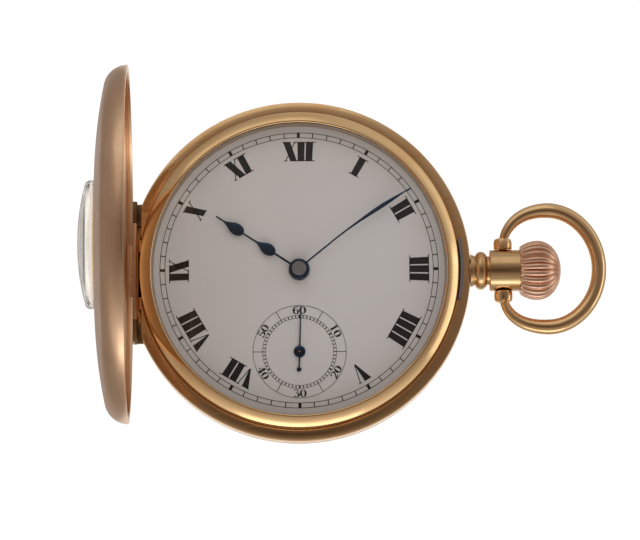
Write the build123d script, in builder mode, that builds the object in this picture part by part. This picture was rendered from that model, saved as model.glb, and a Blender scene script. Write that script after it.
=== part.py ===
"""Half hunter pocket watch, 50 mm case, front lid standing open on its hinge.

Millimetres. +Z points out of the dial, +Y to twelve o'clock, +X along the winding stem.
The origin is the middle of the flat on the back cover, which rests on the table.
"""

from build123d import *
from math import acos, atan2, cos, degrees, hypot, radians, sin
import os

# Clearances, and the one overrun that every cut uses
lid_gap = 0.05
fit = 0.05
play = 0.1
wheel_gap = 0.2
bore_fit = 0.03
overrun = 0.6

# Rods and holes of the movement: few sides where small, more where larger, round above that
small_round_radius = 1.35
small_round_sides = 12
middle_round_radius = 4.0
middle_round_sides = 24

# Case
case_radius = 25.0
band_low = 4.8
band_high = 9.0
seat_height = 7.0
band_chamfer = 0.3
lid_rise = 5.0
cover_wall = 0.5
rim_width = 1.0
rim_ring_height = 0.75
dust_inset = 0.8
dust_rise = 3.75
dust_wall = 0.35
catch_thickness = 0.45
catch_travel = 0.2
bezel_ledge = 1.2
seat_ledge = 0.6
rim_ring_inner = case_radius - rim_width
dust_radius = rim_ring_inner - dust_inset
catch_outer_radius = rim_ring_inner - lid_gap
catch_inner_radius = catch_outer_radius - catch_thickness
catch_slot_inner = catch_inner_radius - catch_travel - fit
bezel_radius = catch_slot_inner - fit
seat_radius = bezel_radius - bezel_ledge
movement_hole_radius = seat_radius - seat_ledge

# Outline of a domed cover from its flat to its rim: share of the radius, share of the rise
cover_outer_shares = ((0.44, 0.0), (0.68, 0.09), (0.90, 0.34), (0.952, 0.482), (0.987, 0.715), (1.0, 1.0))
cover_inner_shares = ((0.46, 0.0), (0.70, 0.09), (0.90, 0.32), (0.975, 0.6), (1.0, 1.0))

# Hinges at nine o'clock
hinge_inset = 1.0
hinge_length = 20.6
knuckle_radius = 0.5
hinge_pin_radius = 0.25
hinge_drop = 0.6
lid_knuckle_length = 14.2
back_knuckle_length = 6.6
dust_knuckle_end = 5.2
dust_post_width = 0.7
dust_arm_gap = 0.15
hinge_recess_depth = 1.1
hinge_wall_gap = 0.65
lid_open_angle = 88.5
hinge_x = hinge_inset - case_radius
dust_post_x = -dust_radius
dust_arm_x = dust_post_x + dust_post_width

# Glass
bezel_width = 1.7
bezel_crest_inset = 0.7
bezel_height = 2.3
bezel_shoulder_height = 0.9
bezel_wall = 0.5
crystal_bite = 0.4
crystal_rise = 1.3
crystal_thickness = 0.5
crystal_seat_height = 1.4
bezel_inner_radius = bezel_radius - bezel_width
bezel_crest_radius = bezel_radius - bezel_crest_inset
crystal_radius = bezel_inner_radius + crystal_bite

# Outline of a glass from its middle to its edge: share of the radius, share of the rise
glass_outer_shares = ((0.36, 1.0), (0.72, 0.6), (1.0, 0.0))
glass_inner_shares = ((0.36, 1.0), (1.0, 0.0))
window_radius = 9.0
window_ring_width = 0.5
window_ring_height = 0.9
window_rise = 1.2
window_thickness = 0.5

# Pendant, bow and crown
stem_height = 6.8
neck_radius = 2.15
root_length = 0.7
collar_length = 1.7
collar_radius = 2.85
neck_length = 0.4
tube_length = 4.7
tube_radius = 3.03
pendant_bore_radius = 1.1
pendant_depth = 2.4
trunnion_inset = 2.0
trunnion_radius = 0.55
trunnion_length = 1.07
bow_foot_radius = 1.4
bow_foot_gap = 0.07
bow_foot_length = 1.46
bow_half_width = 8.4
bow_shoulder_reach = 6.4
bow_reach = 14.15
bow_thick_radius = 1.075
bow_thin_radius = 0.7
bow_sides = 10
bow_sections = 11
crown_overlap = 0.3
crown_length = 6.1
crown_radius = 4.45
crown_lip_radius = 3.55
crown_face_radius = 1.8
crown_shoulder = 1.2
crown_recess_gap = 0.1
crown_recess_depth = 1.6
crown_flutes = 24
flute_depth = 0.6
flute_half_width = 0.9
case_stem_radius = 1.0
stem_socket_length = 1.8
pull_travel = 0.9
collar_start = case_radius + root_length
neck_start = collar_start + collar_length
tube_start = neck_start + neck_length
tube_end = tube_start + tube_length
pendant_root = case_radius - pendant_depth
bow_pivot_x = tube_start + trunnion_inset
bow_foot_start = tube_radius + bow_foot_gap
bow_foot_end = bow_foot_start + bow_foot_length
trunnion_end = tube_radius + trunnion_length
bow_shoulder_x = bow_pivot_x + bow_shoulder_reach
bow_end_x = bow_pivot_x + bow_reach
crown_start = tube_end - crown_overlap
crown_end = crown_start + crown_length
crown_recess_radius = tube_radius + crown_recess_gap
stem_socket_end = pendant_root + stem_socket_length

# Stations of the pendant's rounded collar: share of its length, share of its swell
collar_shares = ((0.0, 0.0), (0.12, 0.55), (0.35, 0.95), (0.65, 0.95), (0.88, 0.55), (1.0, 0.0))

# Lock spring
catch_half_angle = 10.8
catch_low = 7.9
catch_high = 9.9

# Movement levels
plate_low = 6.0
plate_high = 8.3
plate_gap = 0.2
flange_gap = 0.1
bridge_low = 2.7
bridge_high = 3.8
bridge_inset = 2.2
pillar_inset = 1.6
pillar_radius = 1.2
wheel_thickness = 0.25
wheel_hub_radius = 1.2
spoke_width = 0.7
spoke_count = 5
plate_radius = movement_hole_radius - plate_gap
plate_flange_radius = seat_radius - flange_gap
plate_flange_low = seat_height + fit
bridge_radius = plate_radius - bridge_inset
pillar_ring_radius = bridge_radius - pillar_inset
arbor_radius = 0.32
centre_arbor_radius = 0.35
pivot_radius = 0.14
pivot_length = 0.4
end_shake = 0.05
jewel_radius = 0.6
jewel_hole_radius = 0.18
jewel_thickness = 0.45
screw_head_radius = 0.85
screw_head_height = 0.3
screw_shank_share = 0.45
screw_slot_share = 0.15
split_angle = 55.0
barrel_bridge_edge = 1.7
train_bridge_edge = 1.4

# Going train, a slow beat of 14 400 in the hour
centre_module = 0.30
third_module = 0.27
fourth_module = 0.22
barrel_module = 0.33
barrel_teeth = 54
centre_leaves = 9
centre_teeth = 48
third_leaves = 6
third_teeth = 45
fourth_leaves = 6
fourth_teeth = 48
escape_leaves = 6
escape_teeth = 15
escape_radius = 3.8
escape_root_radius = 3.05
escape_rim = 0.4
escape_thickness = 0.2
escape_spokes = 4
escape_back_angle = 6.0
escape_tip_angle = 0.8
seconds_drop = 12.05
barrel_bearing = 70.0
escape_bearing = 160.0
balance_bearing = 143.13
centre_wheel_low = 3.95
third_wheel_low = 5.0
fourth_wheel_low = 5.6
escape_wheel_low = 4.45
fork_low = 4.4
fork_thickness = 0.3
lever_width = 0.6
pallet_lever_length = 3.6
stone_length = 0.8
stone_width = 0.5
stone_gap = 0.05
mouth_gap = 0.12
pallet_cock_high = 4.25
pallet_foot_distance = 5.0
barrel_low = 4.35
barrel_high = 6.6
barrel_tooth_low = 5.3
barrel_wall = 0.4
drum_radius = 8.3
mainspring_start = 2.2
mainspring_pitch = 2.4
mainspring_half_turns = 4
mainspring_strip = 0.35
barrel_arbor_radius = 1.2

# Winding work
click_module = 0.31
crown_wheel_teeth = 30
ratchet_teeth = 50
ratchet_low = 2.3
ratchet_thickness = 0.35
crown_wheel_x = 11.2
contrate_radius = 2.6
contrate_width = 0.5
contrate_teeth = 24
contrate_tip = 5.8
contrate_depth = 0.5
contrate_slot_width = 0.38
winding_leaves = 10
winding_pinion_radius = 1.23
winding_pinion_root = 0.78
winding_tip_angle = 4.5
winding_pinion_length = 1.8
stem_radius = 0.55
stem_inner_end = 9.0
stem_engagement = 0.8
clutch_start = 10.4
clutch_length = 2.2
clutch_radius = 1.3
click_distance = 9.6
click_bearing = 190.0
click_tip_bearing = 172.0
click_width = 0.7

# Motion work and hands
motion_module = 0.2
cannon_leaves = 10
minute_wheel_teeth = 30
minute_pinion_leaves = 8
hour_wheel_teeth = 32
setting_wheel_teeth = 12
motion_floor = 7.4
minute_wheel_low = 7.5
hour_wheel_low = 7.95
cannon_radius = 0.7
cannon_button_radius = 1.08
minute_hub_radius = 1.0
minute_spoke_width = 0.5
minute_spokes = 4
hour_pipe_inner = 0.76
hour_pipe_outer = 1.05
dial_high = 9.0
dial_gap = 0.3
dial_hole_radius = 1.5
hand_thickness = 0.2
hour_hand_low = 9.4
minute_hand_low = 9.95
seconds_hand_low = 9.05
hour_hand_length = 14.7
minute_hand_length = 20.3
seconds_hand_length = 6.8
seconds_tail_length = 2.6
hour_hand_bearing = 302.7
minute_hand_bearing = 54.1
seconds_hand_bearing = 1.5
hand_root_width = 0.22
hand_stem_width = 0.13
lance_half_width = 0.34
hour_swell_shares = (0.364, 0.741)
swell_radius = 1.02
swell_length = 3.6
hand_hub_radius = 1.5
seconds_hub_radius = 0.85

# Balance
balance_radius = 7.0
balance_rim_width = 0.7
balance_low = 3.05
balance_thickness = 0.6
balance_distance = 8.988
balance_arm_width = 0.8
balance_arms = 3
roller_thickness = 0.25
roller_radius = 1.0
roller_low = 4.9
roller_pin_offset = 0.72
roller_pin_radius = 0.1
timing_screws = 10
timing_screw_radius = 0.27
collet_radius = 0.5
cock_low = 2.15
cock_thickness = 0.5
cock_head_radius = 2.6
cock_foot_radius = 3.2
cock_foot_x = -12.5
cock_foot_y = 8.5
regulator_thickness = 0.2
regulator_length = 4.2
hairspring_low = 2.74
hairspring_height = 0.2
hairspring_strip = 0.1
hairspring_start = 0.7
hairspring_pitch = 0.5
hairspring_half_turns = 5

# Tooth forms: share of the pitch that a tooth fills, shares of the module above and below the pitch circle
wheel_tooth_share = 0.42
leaf_tooth_share = 0.34
wheel_rise_share = 0.85
leaf_rise_share = 0.75
tooth_drop_share = 1.15
minute_lance_share = 0.68
hour_taper_share = 0.9

centre = (0.0, 0.0)
fourth_place = (0.0, -seconds_drop)
dial_low = plate_high + fit
dial_radius = seat_radius - dial_gap
stem_outer_end = pendant_root + stem_engagement


def polar(start, distance, angle):
    """Point at a distance and an angle in degrees, anticlockwise from +X, from a start point."""
    return (start[0] + distance * cos(radians(angle)), start[1] + distance * sin(radians(angle)))


def bearing_angle(bearing):
    """Angle anticlockwise from +X of a hand's bearing, clockwise from twelve."""
    return 90.0 - bearing


def third_arbor_place():
    """Where the third arbor stands, one depth from the centre wheel and one from the fourth pinion."""
    to_centre = centre_module * (centre_teeth + third_leaves) / 2
    to_fourth = third_module * (third_teeth + fourth_leaves) / 2
    swing = acos((to_centre**2 + seconds_drop**2 - to_fourth**2) / (2 * to_centre * seconds_drop))
    return polar(centre, to_centre, degrees(swing) - 90.0)


barrel_distance = barrel_module * (barrel_teeth + centre_leaves) / 2
barrel_place = polar(centre, barrel_distance, barrel_bearing)
third_place = third_arbor_place()
escape_distance = fourth_module * (fourth_teeth + escape_leaves) / 2
escape_place = polar(fourth_place, escape_distance, escape_bearing)
pallet_distance = escape_radius / cos(radians(30.0))
pallet_place = polar(escape_place, pallet_distance, balance_bearing)
balance_place = polar(escape_place, balance_distance, balance_bearing)
crown_wheel_place = (crown_wheel_x, 0.0)
motion_distance = motion_module * (cannon_leaves + minute_wheel_teeth) / 2
minute_wheel_place = (motion_distance, 0.0)
setting_distance = motion_module * (minute_wheel_teeth + setting_wheel_teeth) / 2
setting_wheel_place = (motion_distance + setting_distance, 0.0)
cock_foot_place = (cock_foot_x, cock_foot_y)
front_pin_height = band_high - hinge_drop
back_pin_height = band_low + hinge_drop
winding_pinion_x = crown_wheel_x + contrate_radius - contrate_width / 2
barrel_tip_radius = barrel_module * (barrel_teeth / 2 + 1)


def gear_points(teeth, module, phase, pitch_share=wheel_tooth_share, rise_share=wheel_rise_share):
    """Corners of a wheel's outline, three to a tooth, the first tooth centred on the phase angle."""
    pitch_radius = module * teeth / 2
    tip_radius = pitch_radius + rise_share * module
    root_radius = pitch_radius - tooth_drop_share * module
    step = 360.0 / teeth
    root_share = pitch_share * (rise_share + tooth_drop_share) / rise_share
    corners = []
    for tooth in range(teeth):
        middle = phase + tooth * step
        corners.append(polar(centre, root_radius, middle - root_share * step / 2))
        corners.append(polar(centre, tip_radius, middle))
        corners.append(polar(centre, root_radius, middle + root_share * step / 2))
    return corners


def meshed_phase(driver_phase, driver_teeth, own_teeth, direction):
    """Phase that puts a wheel's gap on the driver's tooth, the driver lying opposite the direction."""
    return direction + 180.0 - driver_teeth / own_teeth * (driver_phase - direction) - 180.0 / own_teeth


def direction_to(start, end):
    """Angle in degrees from one arbor to another."""
    return degrees(atan2(end[1] - start[1], end[0] - start[0]))


def cut_wheel(place, low, teeth, module, phase, spokes=spoke_count, hub_radius=wheel_hub_radius,
              width=spoke_width):
    """One toothed and spoked wheel, its rim as wide as its spokes, added to the open part."""
    web_radius = module * (teeth / 2 - tooth_drop_share) - width
    with BuildSketch(Plane.XY.offset(low)) as outline:
        with Locations(place):
            Polygon(*gear_points(teeth, module, phase), align=None)
            RegularPolygon(web_radius, middle_round_sides, mode=Mode.SUBTRACT)
            Circle(hub_radius)
            with PolarLocations(0.0, spokes):
                Rectangle(web_radius + width / 2, width, align=(Align.MIN, Align.CENTER))
    extrude(outline.sketch, amount=wheel_thickness)


def leaves(place, low, height, count, module, phase):
    """Pinion leaves, added to the open part."""
    with BuildSketch(Plane.XY.offset(low)) as outline:
        with Locations(place):
            Polygon(
                *gear_points(count, module, phase, pitch_share=leaf_tooth_share, rise_share=leaf_rise_share),
                align=None,
            )
    extrude(outline.sketch, amount=height)


def round_outline(radius, is_rod):
    """Outline of a rod or a hole: a circle, or a few sided one inside a small rod or outside a small hole."""
    if radius < small_round_radius:
        RegularPolygon(radius, small_round_sides, major_radius=is_rod)
    elif radius < middle_round_radius:
        RegularPolygon(radius, middle_round_sides, major_radius=is_rod)
    else:
        Circle(radius)


def rod(place, low, high, radius):
    """Upright round rod, added to the open part."""
    with BuildSketch(Plane.XY.offset(low)) as outline:
        with Locations(place):
            round_outline(radius, is_rod=True)
    extrude(outline.sketch, amount=high - low)


def hole(place, low, high, radius):
    """Upright round hole, cut from the open part."""
    with BuildSketch(Plane.XY.offset(low)) as outline:
        with Locations(place):
            round_outline(radius, is_rod=False)
    extrude(outline.sketch, amount=high - low, mode=Mode.SUBTRACT)


def pivoted_arbor(place, low=bridge_high, high=plate_low):
    """Arbor between the plates with a pivot at each end, added to the open part."""
    rod(place, low + end_shake, high - end_shake, arbor_radius)
    rod(place, low - pivot_length, high + pivot_length, pivot_radius)


def dome(radius, base, rise, wall):
    """Domed cover with its open rim up, added to the open part."""
    outer = [(radius * across, base + rise * up) for across, up in cover_outer_shares]
    inner = [
        ((radius - wall) * across, base + wall + (rise - wall) * up) for across, up in cover_inner_shares
    ]
    with BuildSketch(Plane.XZ) as outline:
        with BuildLine():
            Polyline((0.0, base), *outer, *reversed(inner), (0.0, base + wall), close=True)
        make_face()
    revolve(outline.sketch, axis=Axis.Z)


def ring(inner, outer, low, high):
    """Plain turned ring, added to the open part."""
    with BuildSketch(Plane.XY.offset(low)) as outline:
        Circle(outer)
        Circle(inner, mode=Mode.SUBTRACT)
    extrude(outline.sketch, amount=high - low)


def knuckle(height, start, end, radius=knuckle_radius):
    """Hinge knuckle or pin along Y between two stations, added to the open part."""
    with BuildSketch(Plane.XZ.offset(-start)) as outline:
        with Locations((hinge_x, height)):
            Circle(radius)
    extrude(outline.sketch, amount=-(end - start))


def pin_hole(height, radius=hinge_pin_radius + bore_fit):
    """Hole for a hinge pin, cut from the open part all along the hinge."""
    with BuildSketch(Plane.XZ.offset(hinge_length)) as outline:
        with Locations((hinge_x, height)):
            Circle(radius)
    extrude(outline.sketch, amount=-2 * hinge_length, mode=Mode.SUBTRACT)


def block(x_low, x_high, y_low, y_high, z_low, z_high, mode=Mode.ADD):
    """Straight sided block between six stations."""
    with BuildSketch(Plane.XY.offset(z_low)) as outline:
        with Locations(((x_low + x_high) / 2, (y_low + y_high) / 2)):
            Rectangle(x_high - x_low, y_high - y_low)
    extrude(outline.sketch, amount=z_high - z_low, mode=mode)


def x_rod(x_low, x_high, radius):
    """Round rod along X on the stem's axis, added to the open part."""
    with BuildSketch(Plane.YZ.offset(x_low)) as outline:
        with Locations((0.0, stem_height)):
            round_outline(radius, is_rod=True)
    extrude(outline.sketch, amount=x_high - x_low)


def x_hole(x_low, x_high, radius):
    """Round hole along X on the stem's axis, cut from the open part."""
    with BuildSketch(Plane.YZ.offset(x_low)) as outline:
        with Locations((0.0, stem_height)):
            round_outline(radius, is_rod=False)
    extrude(outline.sketch, amount=x_high - x_low, mode=Mode.SUBTRACT)


pieces = {}


def finish(name, part, colour):
    """Labels one finished piece and keeps it for export."""
    part.label = name
    part.color = Color(colour)
    pieces[name] = part


# Case middle, with a recess at nine o'clock where the lids' knuckles swing
half_free = lid_knuckle_length / 2 + fit
half_hinge = hinge_length / 2
recess_x = hinge_x + hinge_wall_gap
with BuildPart() as case_middle:
    with BuildSketch(Plane.XZ):
        with BuildLine():
            Polyline(
                (movement_hole_radius, band_low),
                (case_radius - band_chamfer, band_low),
                (case_radius, band_low + band_chamfer),
                (case_radius, band_high - band_chamfer),
                (case_radius - band_chamfer, band_high),
                (seat_radius, band_high),
                (seat_radius, seat_height),
                (movement_hole_radius, seat_height),
                close=True,
            )
        make_face()
    revolve(axis=Axis.Z)
    block(-case_radius - overrun, recess_x, -half_free, half_free,
          front_pin_height - hinge_recess_depth, band_high + overrun, mode=Mode.SUBTRACT)
    block(-case_radius - overrun, recess_x, -half_free, half_free,
          band_low - overrun, back_pin_height + hinge_recess_depth, mode=Mode.SUBTRACT)
    block(-case_radius, dust_arm_x + fit, -dust_knuckle_end - fit, dust_knuckle_end + fit,
          band_low - overrun, back_pin_height - dust_arm_gap + fit, mode=Mode.SUBTRACT)
    for side in (-1, 1):
        near, far = sorted((side * half_free, side * half_hinge))
        for height in (front_pin_height, back_pin_height):
            knuckle(height, near, far)
        block(hinge_x - knuckle_radius, -seat_radius - knuckle_radius, near, far,
              back_pin_height, front_pin_height)
    for height in (front_pin_height, back_pin_height):
        pin_hole(height, hinge_pin_radius)
    with BuildSketch(Plane.XY.offset(catch_low)):
        with BuildLine():
            span = catch_half_angle + degrees(fit / catch_inner_radius)
            inner = CenterArc(centre, catch_slot_inner, -span, 2 * span)
            outer = CenterArc(centre, catch_outer_radius + fit, -span, 2 * span)
            Line(inner @ 0, outer @ 0)
            Line(inner @ 1, outer @ 1)
        make_face()
    extrude(amount=band_high - catch_low + overrun, mode=Mode.SUBTRACT)
    x_hole(movement_hole_radius - overrun, case_radius + overrun, case_stem_radius + fit)
finish("case_middle", case_middle.part, 0xD9A55B)

# Pendant, turned in one piece and soldered to the band, with a trunnion each side for the bow
with BuildPart() as pendant:
    collar = [
        (collar_start + collar_length * along, stem_height + neck_radius + (collar_radius - neck_radius) * swell)
        for along, swell in collar_shares
    ]
    with BuildSketch(Plane.XZ):
        with BuildLine():
            Polyline(
                (pendant_root, stem_height + pendant_bore_radius),
                (pendant_root, stem_height + neck_radius),
                *collar,
                (tube_start, stem_height + neck_radius),
                (tube_start, stem_height + tube_radius),
                (tube_end, stem_height + tube_radius),
                (tube_end, stem_height + pendant_bore_radius),
                close=True,
            )
        make_face()
    revolve(axis=Axis((0, 0, stem_height), (1, 0, 0)))
    with BuildSketch(Plane.XY.offset(stem_height - collar_radius)):
        Circle(case_radius)
    extrude(amount=2 * collar_radius, mode=Mode.SUBTRACT)
    with BuildSketch(Plane.XZ.offset(-trunnion_end)):
        with Locations((bow_pivot_x, stem_height)):
            Circle(trunnion_radius)
    extrude(amount=2 * trunnion_end)
    x_hole(pendant_root, tube_end, pendant_bore_radius)
finish("pendant", pendant.part, 0xD9A55B)

# Hinge pins
for name, height in (("front_hinge_pin", front_pin_height), ("back_hinge_pin", back_pin_height)):
    with BuildPart() as hinge_pin:
        knuckle(height, -half_hinge, half_hinge, radius=hinge_pin_radius)
    finish(name, hinge_pin.part, 0xB07A3C)

# Glass bezel
with BuildPart() as glass_bezel:
    with BuildSketch(Plane.XZ):
        with BuildLine():
            crest = band_high + bezel_height
            Polyline(
                (bezel_radius, band_high + bezel_shoulder_height),
                (bezel_radius - bezel_wall / 2, crest - bezel_wall),
                (bezel_crest_radius, crest),
                (bezel_inner_radius, crest - bezel_wall / 2),
                (bezel_inner_radius, band_high + crystal_seat_height + crystal_thickness),
                (crystal_radius + bore_fit, band_high + crystal_seat_height + crystal_thickness),
                (crystal_radius + bore_fit, band_high + lid_gap),
                (bezel_radius, band_high + lid_gap),
                close=True,
            )
        make_face()
    revolve(axis=Axis.Z)
finish("glass_bezel", glass_bezel.part, 0xE0B070)


def glass_corners(radius, base, rise, shares):
    """Corners of one side of a domed glass, from its middle out."""
    return [(0.0, base + rise)] + [(radius * across, base + rise * up) for across, up in shares]


# Crystal, a low dome that snaps into the bezel
glass_low = band_high + crystal_seat_height
glass_high = glass_low + crystal_thickness
with BuildPart() as crystal:
    under = glass_corners(bezel_inner_radius - fit, glass_low, crystal_rise, glass_inner_shares)
    over = glass_corners(bezel_inner_radius - fit, glass_high, crystal_rise, glass_outer_shares)
    with BuildSketch(Plane.XZ):
        with BuildLine():
            Polyline(
                *over,
                (bezel_inner_radius - fit, glass_high - lid_gap),
                (crystal_radius, glass_high - lid_gap),
                (crystal_radius, glass_low),
                *reversed(under),
                close=True,
            )
        make_face()
    revolve(axis=Axis.Z)
finish("crystal", crystal.part, 0xDDEEFF)

# Front lid, built closed with its rim down, then swung open about the hinge pin
lid_low = band_high + lid_gap
front_hinge_axis = Axis((hinge_x, 0, front_pin_height), (0, 1, 0))
lid_plane_high = lid_low + lid_rise


def swung_open(closed):
    """The closed lid's solid turned about its hinge pin to where the photograph shows it."""
    return closed.rotate(front_hinge_axis, -lid_open_angle)


def mirrored_down(solid, plane_height):
    """A cover built rim up, turned over so that its rim lies at the plane height."""
    return mirror(solid, about=Plane.XY).moved(Location((0, 0, plane_height)))


with BuildPart() as lid_shell:
    dome(case_radius, 0, lid_rise, cover_wall)
    ring(rim_ring_inner, case_radius, lid_rise - rim_ring_height, lid_rise)
    with BuildSketch():
        Circle(window_radius - window_ring_width)
    extrude(amount=cover_wall + overrun, mode=Mode.SUBTRACT)
closed_shell = mirrored_down(lid_shell.part, lid_plane_high)
half_lid_knuckle = lid_knuckle_length / 2
with BuildPart() as lid_closed:
    add(closed_shell)
    knuckle(front_pin_height, -half_lid_knuckle, half_lid_knuckle)
    block(hinge_x - knuckle_radius, hinge_x + knuckle_radius, -half_lid_knuckle, half_lid_knuckle,
          front_pin_height, lid_low + rim_ring_height / 2)
    pin_hole(front_pin_height)
finish("front_lid", swung_open(lid_closed.part), 0xD9A55B)

with BuildPart() as window_ring:
    ring(window_radius - window_ring_width, window_radius, lid_plane_high, lid_plane_high + window_ring_height)
finish("lid_window_ring", swung_open(window_ring.part), 0xE0B070)

with BuildPart() as window_glass:
    glass_radius = window_radius - window_ring_width - bore_fit
    foot = lid_plane_high - cover_wall
    top = lid_plane_high + window_ring_height
    inner_radius = glass_radius - window_thickness
    outside = glass_corners(glass_radius, top, window_rise, glass_outer_shares)
    inside = glass_corners(inner_radius, top - window_thickness, window_rise, glass_inner_shares)
    with BuildSketch(Plane.XZ):
        with BuildLine():
            Polyline(*outside, (glass_radius, foot), (inner_radius, foot), *reversed(inside), close=True)
        make_face()
    revolve(axis=Axis.Z)
finish("lid_window_glass", swung_open(window_glass.part), 0xDDEEFF)

# Back cover, rim up
with BuildPart() as back_cover:
    back_rise = band_low - lid_gap
    half_back = back_knuckle_length / 2
    dome(case_radius, 0, back_rise, cover_wall)
    ring(rim_ring_inner, case_radius, back_rise - rim_ring_height, back_rise)
    knuckle(back_pin_height, -half_back, half_back)
    block(hinge_x - knuckle_radius, hinge_x + knuckle_radius, -half_back, half_back,
          back_rise - rim_ring_height / 2, back_pin_height)
    pin_hole(back_pin_height)
finish("back_cover", back_cover.part, 0xD9A55B)

# Dust cover, under the back cover and on the same pin
with BuildPart() as dust_cover:
    dust_base = back_rise - dust_rise
    dome(dust_radius, dust_base, dust_rise, dust_wall)
    for side in (-1, 1):
        near, far = sorted((side * (half_back + fit), side * dust_knuckle_end))
        knuckle(back_pin_height, near, far, radius=knuckle_radius - fit)
        block(hinge_x, dust_arm_x, near, far, band_low + fit, back_pin_height - dust_arm_gap)
        block(dust_post_x, dust_arm_x, near, far, back_rise - dust_wall, back_pin_height - dust_arm_gap)
    pin_hole(back_pin_height)
finish("dust_cover", dust_cover.part, 0xE0B070)

# Bow, a tapered wire with a round foot on each trunnion
with BuildPart() as bow:
    with BuildLine() as route:
        Spline(
            (bow_pivot_x, bow_foot_end - bow_thin_radius, stem_height),
            (bow_shoulder_x, bow_half_width, stem_height),
            (bow_end_x, 0, stem_height),
            tangents=((0, 1, 0), (0, -1, 0)),
        )
    for section in range(bow_sections):
        share = section / (bow_sections - 1)
        width = bow_thin_radius + (bow_thick_radius - bow_thin_radius) * share
        with BuildSketch(Plane(origin=route.line @ share, x_dir=(0, 0, 1), z_dir=route.line % share)):
            RegularPolygon(width, bow_sides)
    loft(ruled=True)
    with BuildSketch(Plane.XZ.offset(-bow_foot_start)):
        with Locations((bow_pivot_x, stem_height)):
            Circle(bow_foot_radius)
    extrude(amount=-bow_foot_length)
    with BuildSketch(Plane.XZ.offset(-bow_foot_start)):
        with Locations((bow_pivot_x, stem_height)):
            Circle(trunnion_radius + fit)
    extrude(amount=-(trunnion_end + fit - bow_foot_start), mode=Mode.SUBTRACT)
    mirror(about=Plane.XZ)
finish("bow", bow.part, 0xD9A55B)

# Crown, an onion with deep flutes, hollow where it passes over the pendant tube
with BuildPart() as crown:
    with BuildSketch(Plane.XZ):
        with BuildLine():
            Polyline(
                (crown_end, stem_height),
                (crown_start + crown_recess_depth, stem_height),
                (crown_start + crown_recess_depth, stem_height + crown_recess_radius),
                (crown_start, stem_height + crown_recess_radius),
                (crown_start, stem_height + crown_lip_radius),
                (crown_start + crown_shoulder, stem_height + crown_radius),
                (crown_end - 2 * crown_shoulder, stem_height + crown_radius),
                (crown_end - crown_shoulder / 2, stem_height + crown_lip_radius),
                (crown_end, stem_height + crown_face_radius),
                close=True,
            )
        make_face()
    revolve(axis=Axis((0, 0, stem_height), (1, 0, 0)))
    with BuildSketch(Plane.YZ.offset(crown_start - overrun)):
        with Locations((0.0, stem_height)):
            with PolarLocations(crown_radius - flute_depth, crown_flutes):
                Polygon((0, 0), (2 * flute_depth, flute_half_width), (2 * flute_depth, -flute_half_width),
                        align=None)
    extrude(amount=crown_end - crown_start + 2 * overrun, mode=Mode.SUBTRACT)
finish("crown", crown.part, 0xD08A55)

with BuildPart() as case_stem:
    x_rod(pendant_root, crown_start + crown_recess_depth, case_stem_radius)
    x_hole(pendant_root - overrun, stem_socket_end, stem_radius + bore_fit)
finish("case_stem", case_stem.part, 0xB8B8BC)

# Lock spring, a steel strip whose lip stands up at three o'clock inside the lid's rim
with BuildPart() as lock_spring:
    with BuildSketch(Plane.XY.offset(catch_low + fit)):
        with BuildLine():
            inner = CenterArc(centre, catch_inner_radius, -catch_half_angle, 2 * catch_half_angle)
            outer = CenterArc(centre, catch_outer_radius, -catch_half_angle, 2 * catch_half_angle)
            Line(inner @ 0, outer @ 0)
            Line(inner @ 1, outer @ 1)
        make_face()
    extrude(amount=catch_high - catch_low - fit)
    x_hole(catch_inner_radius - 2 * overrun, catch_outer_radius + overrun, case_stem_radius + catch_travel)
finish("lock_spring", lock_spring.part, 0x8E959E)

# Main plate
pillar_angles_train = (-62.0, -125.0, -20.0)
pillar_angles_barrel = (118.0, 33.0, 12.0)
pillar_places = [
    polar(centre, pillar_ring_radius, angle) for angle in pillar_angles_train + pillar_angles_barrel
]
jewelled = (centre, third_place, fourth_place, escape_place)
slot_half = clutch_radius + wheel_gap
slot_start = clutch_start - pull_travel
slot_end = winding_pinion_x + winding_pinion_length / 2 + play
motion_places = ((centre, hour_wheel_teeth), (minute_wheel_place, minute_wheel_teeth),
                 (setting_wheel_place, setting_wheel_teeth))
with BuildPart() as main_plate:
    rod(centre, plate_low, plate_high, plate_radius)
    rod(centre, plate_flange_low, plate_high, plate_flange_radius)
    hole(barrel_place, plate_low - overrun, barrel_high + play, barrel_tip_radius + wheel_gap)
    for place, teeth in motion_places:
        hole(place, motion_floor, plate_high + overrun, motion_module * (teeth / 2 + 1) + wheel_gap)
    block(slot_start, slot_end, -slot_half, slot_half, plate_low - overrun, plate_high + overrun,
          mode=Mode.SUBTRACT)
    x_hole(stem_inner_end - fit, plate_flange_radius + overrun, stem_radius + fit)
    hole(centre, plate_low - overrun, plate_high + overrun, cannon_radius + fit)
    hole(fourth_place, plate_low - overrun, plate_high + overrun, jewel_radius)
    hole(barrel_place, plate_low - overrun, motion_floor - fit, barrel_arbor_radius / 2 + fit)
    for place in (third_place, escape_place, pallet_place, balance_place):
        hole(place, plate_low - overrun, plate_low + jewel_thickness, jewel_radius)
    for place in pillar_places:
        rod(place, bridge_high, plate_low, pillar_radius)
finish("main_plate", main_plate.part, 0xC9A45C)


def split_block(edge, keep_above):
    """Cuts the open part along the line between the two bridges."""
    direction = (cos(radians(split_angle)), sin(radians(split_angle)))
    shift = edge + case_radius if not keep_above else edge - case_radius
    middle = (direction[0] * shift, direction[1] * shift)
    with BuildSketch(Plane.XY.offset(bridge_low - overrun)) as outline:
        with Locations(Location((middle[0], middle[1], 0), (0, 0, split_angle))):
            Rectangle(2 * case_radius, 3 * case_radius)
    extrude(outline.sketch, amount=plate_low - bridge_low, mode=Mode.SUBTRACT)


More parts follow.
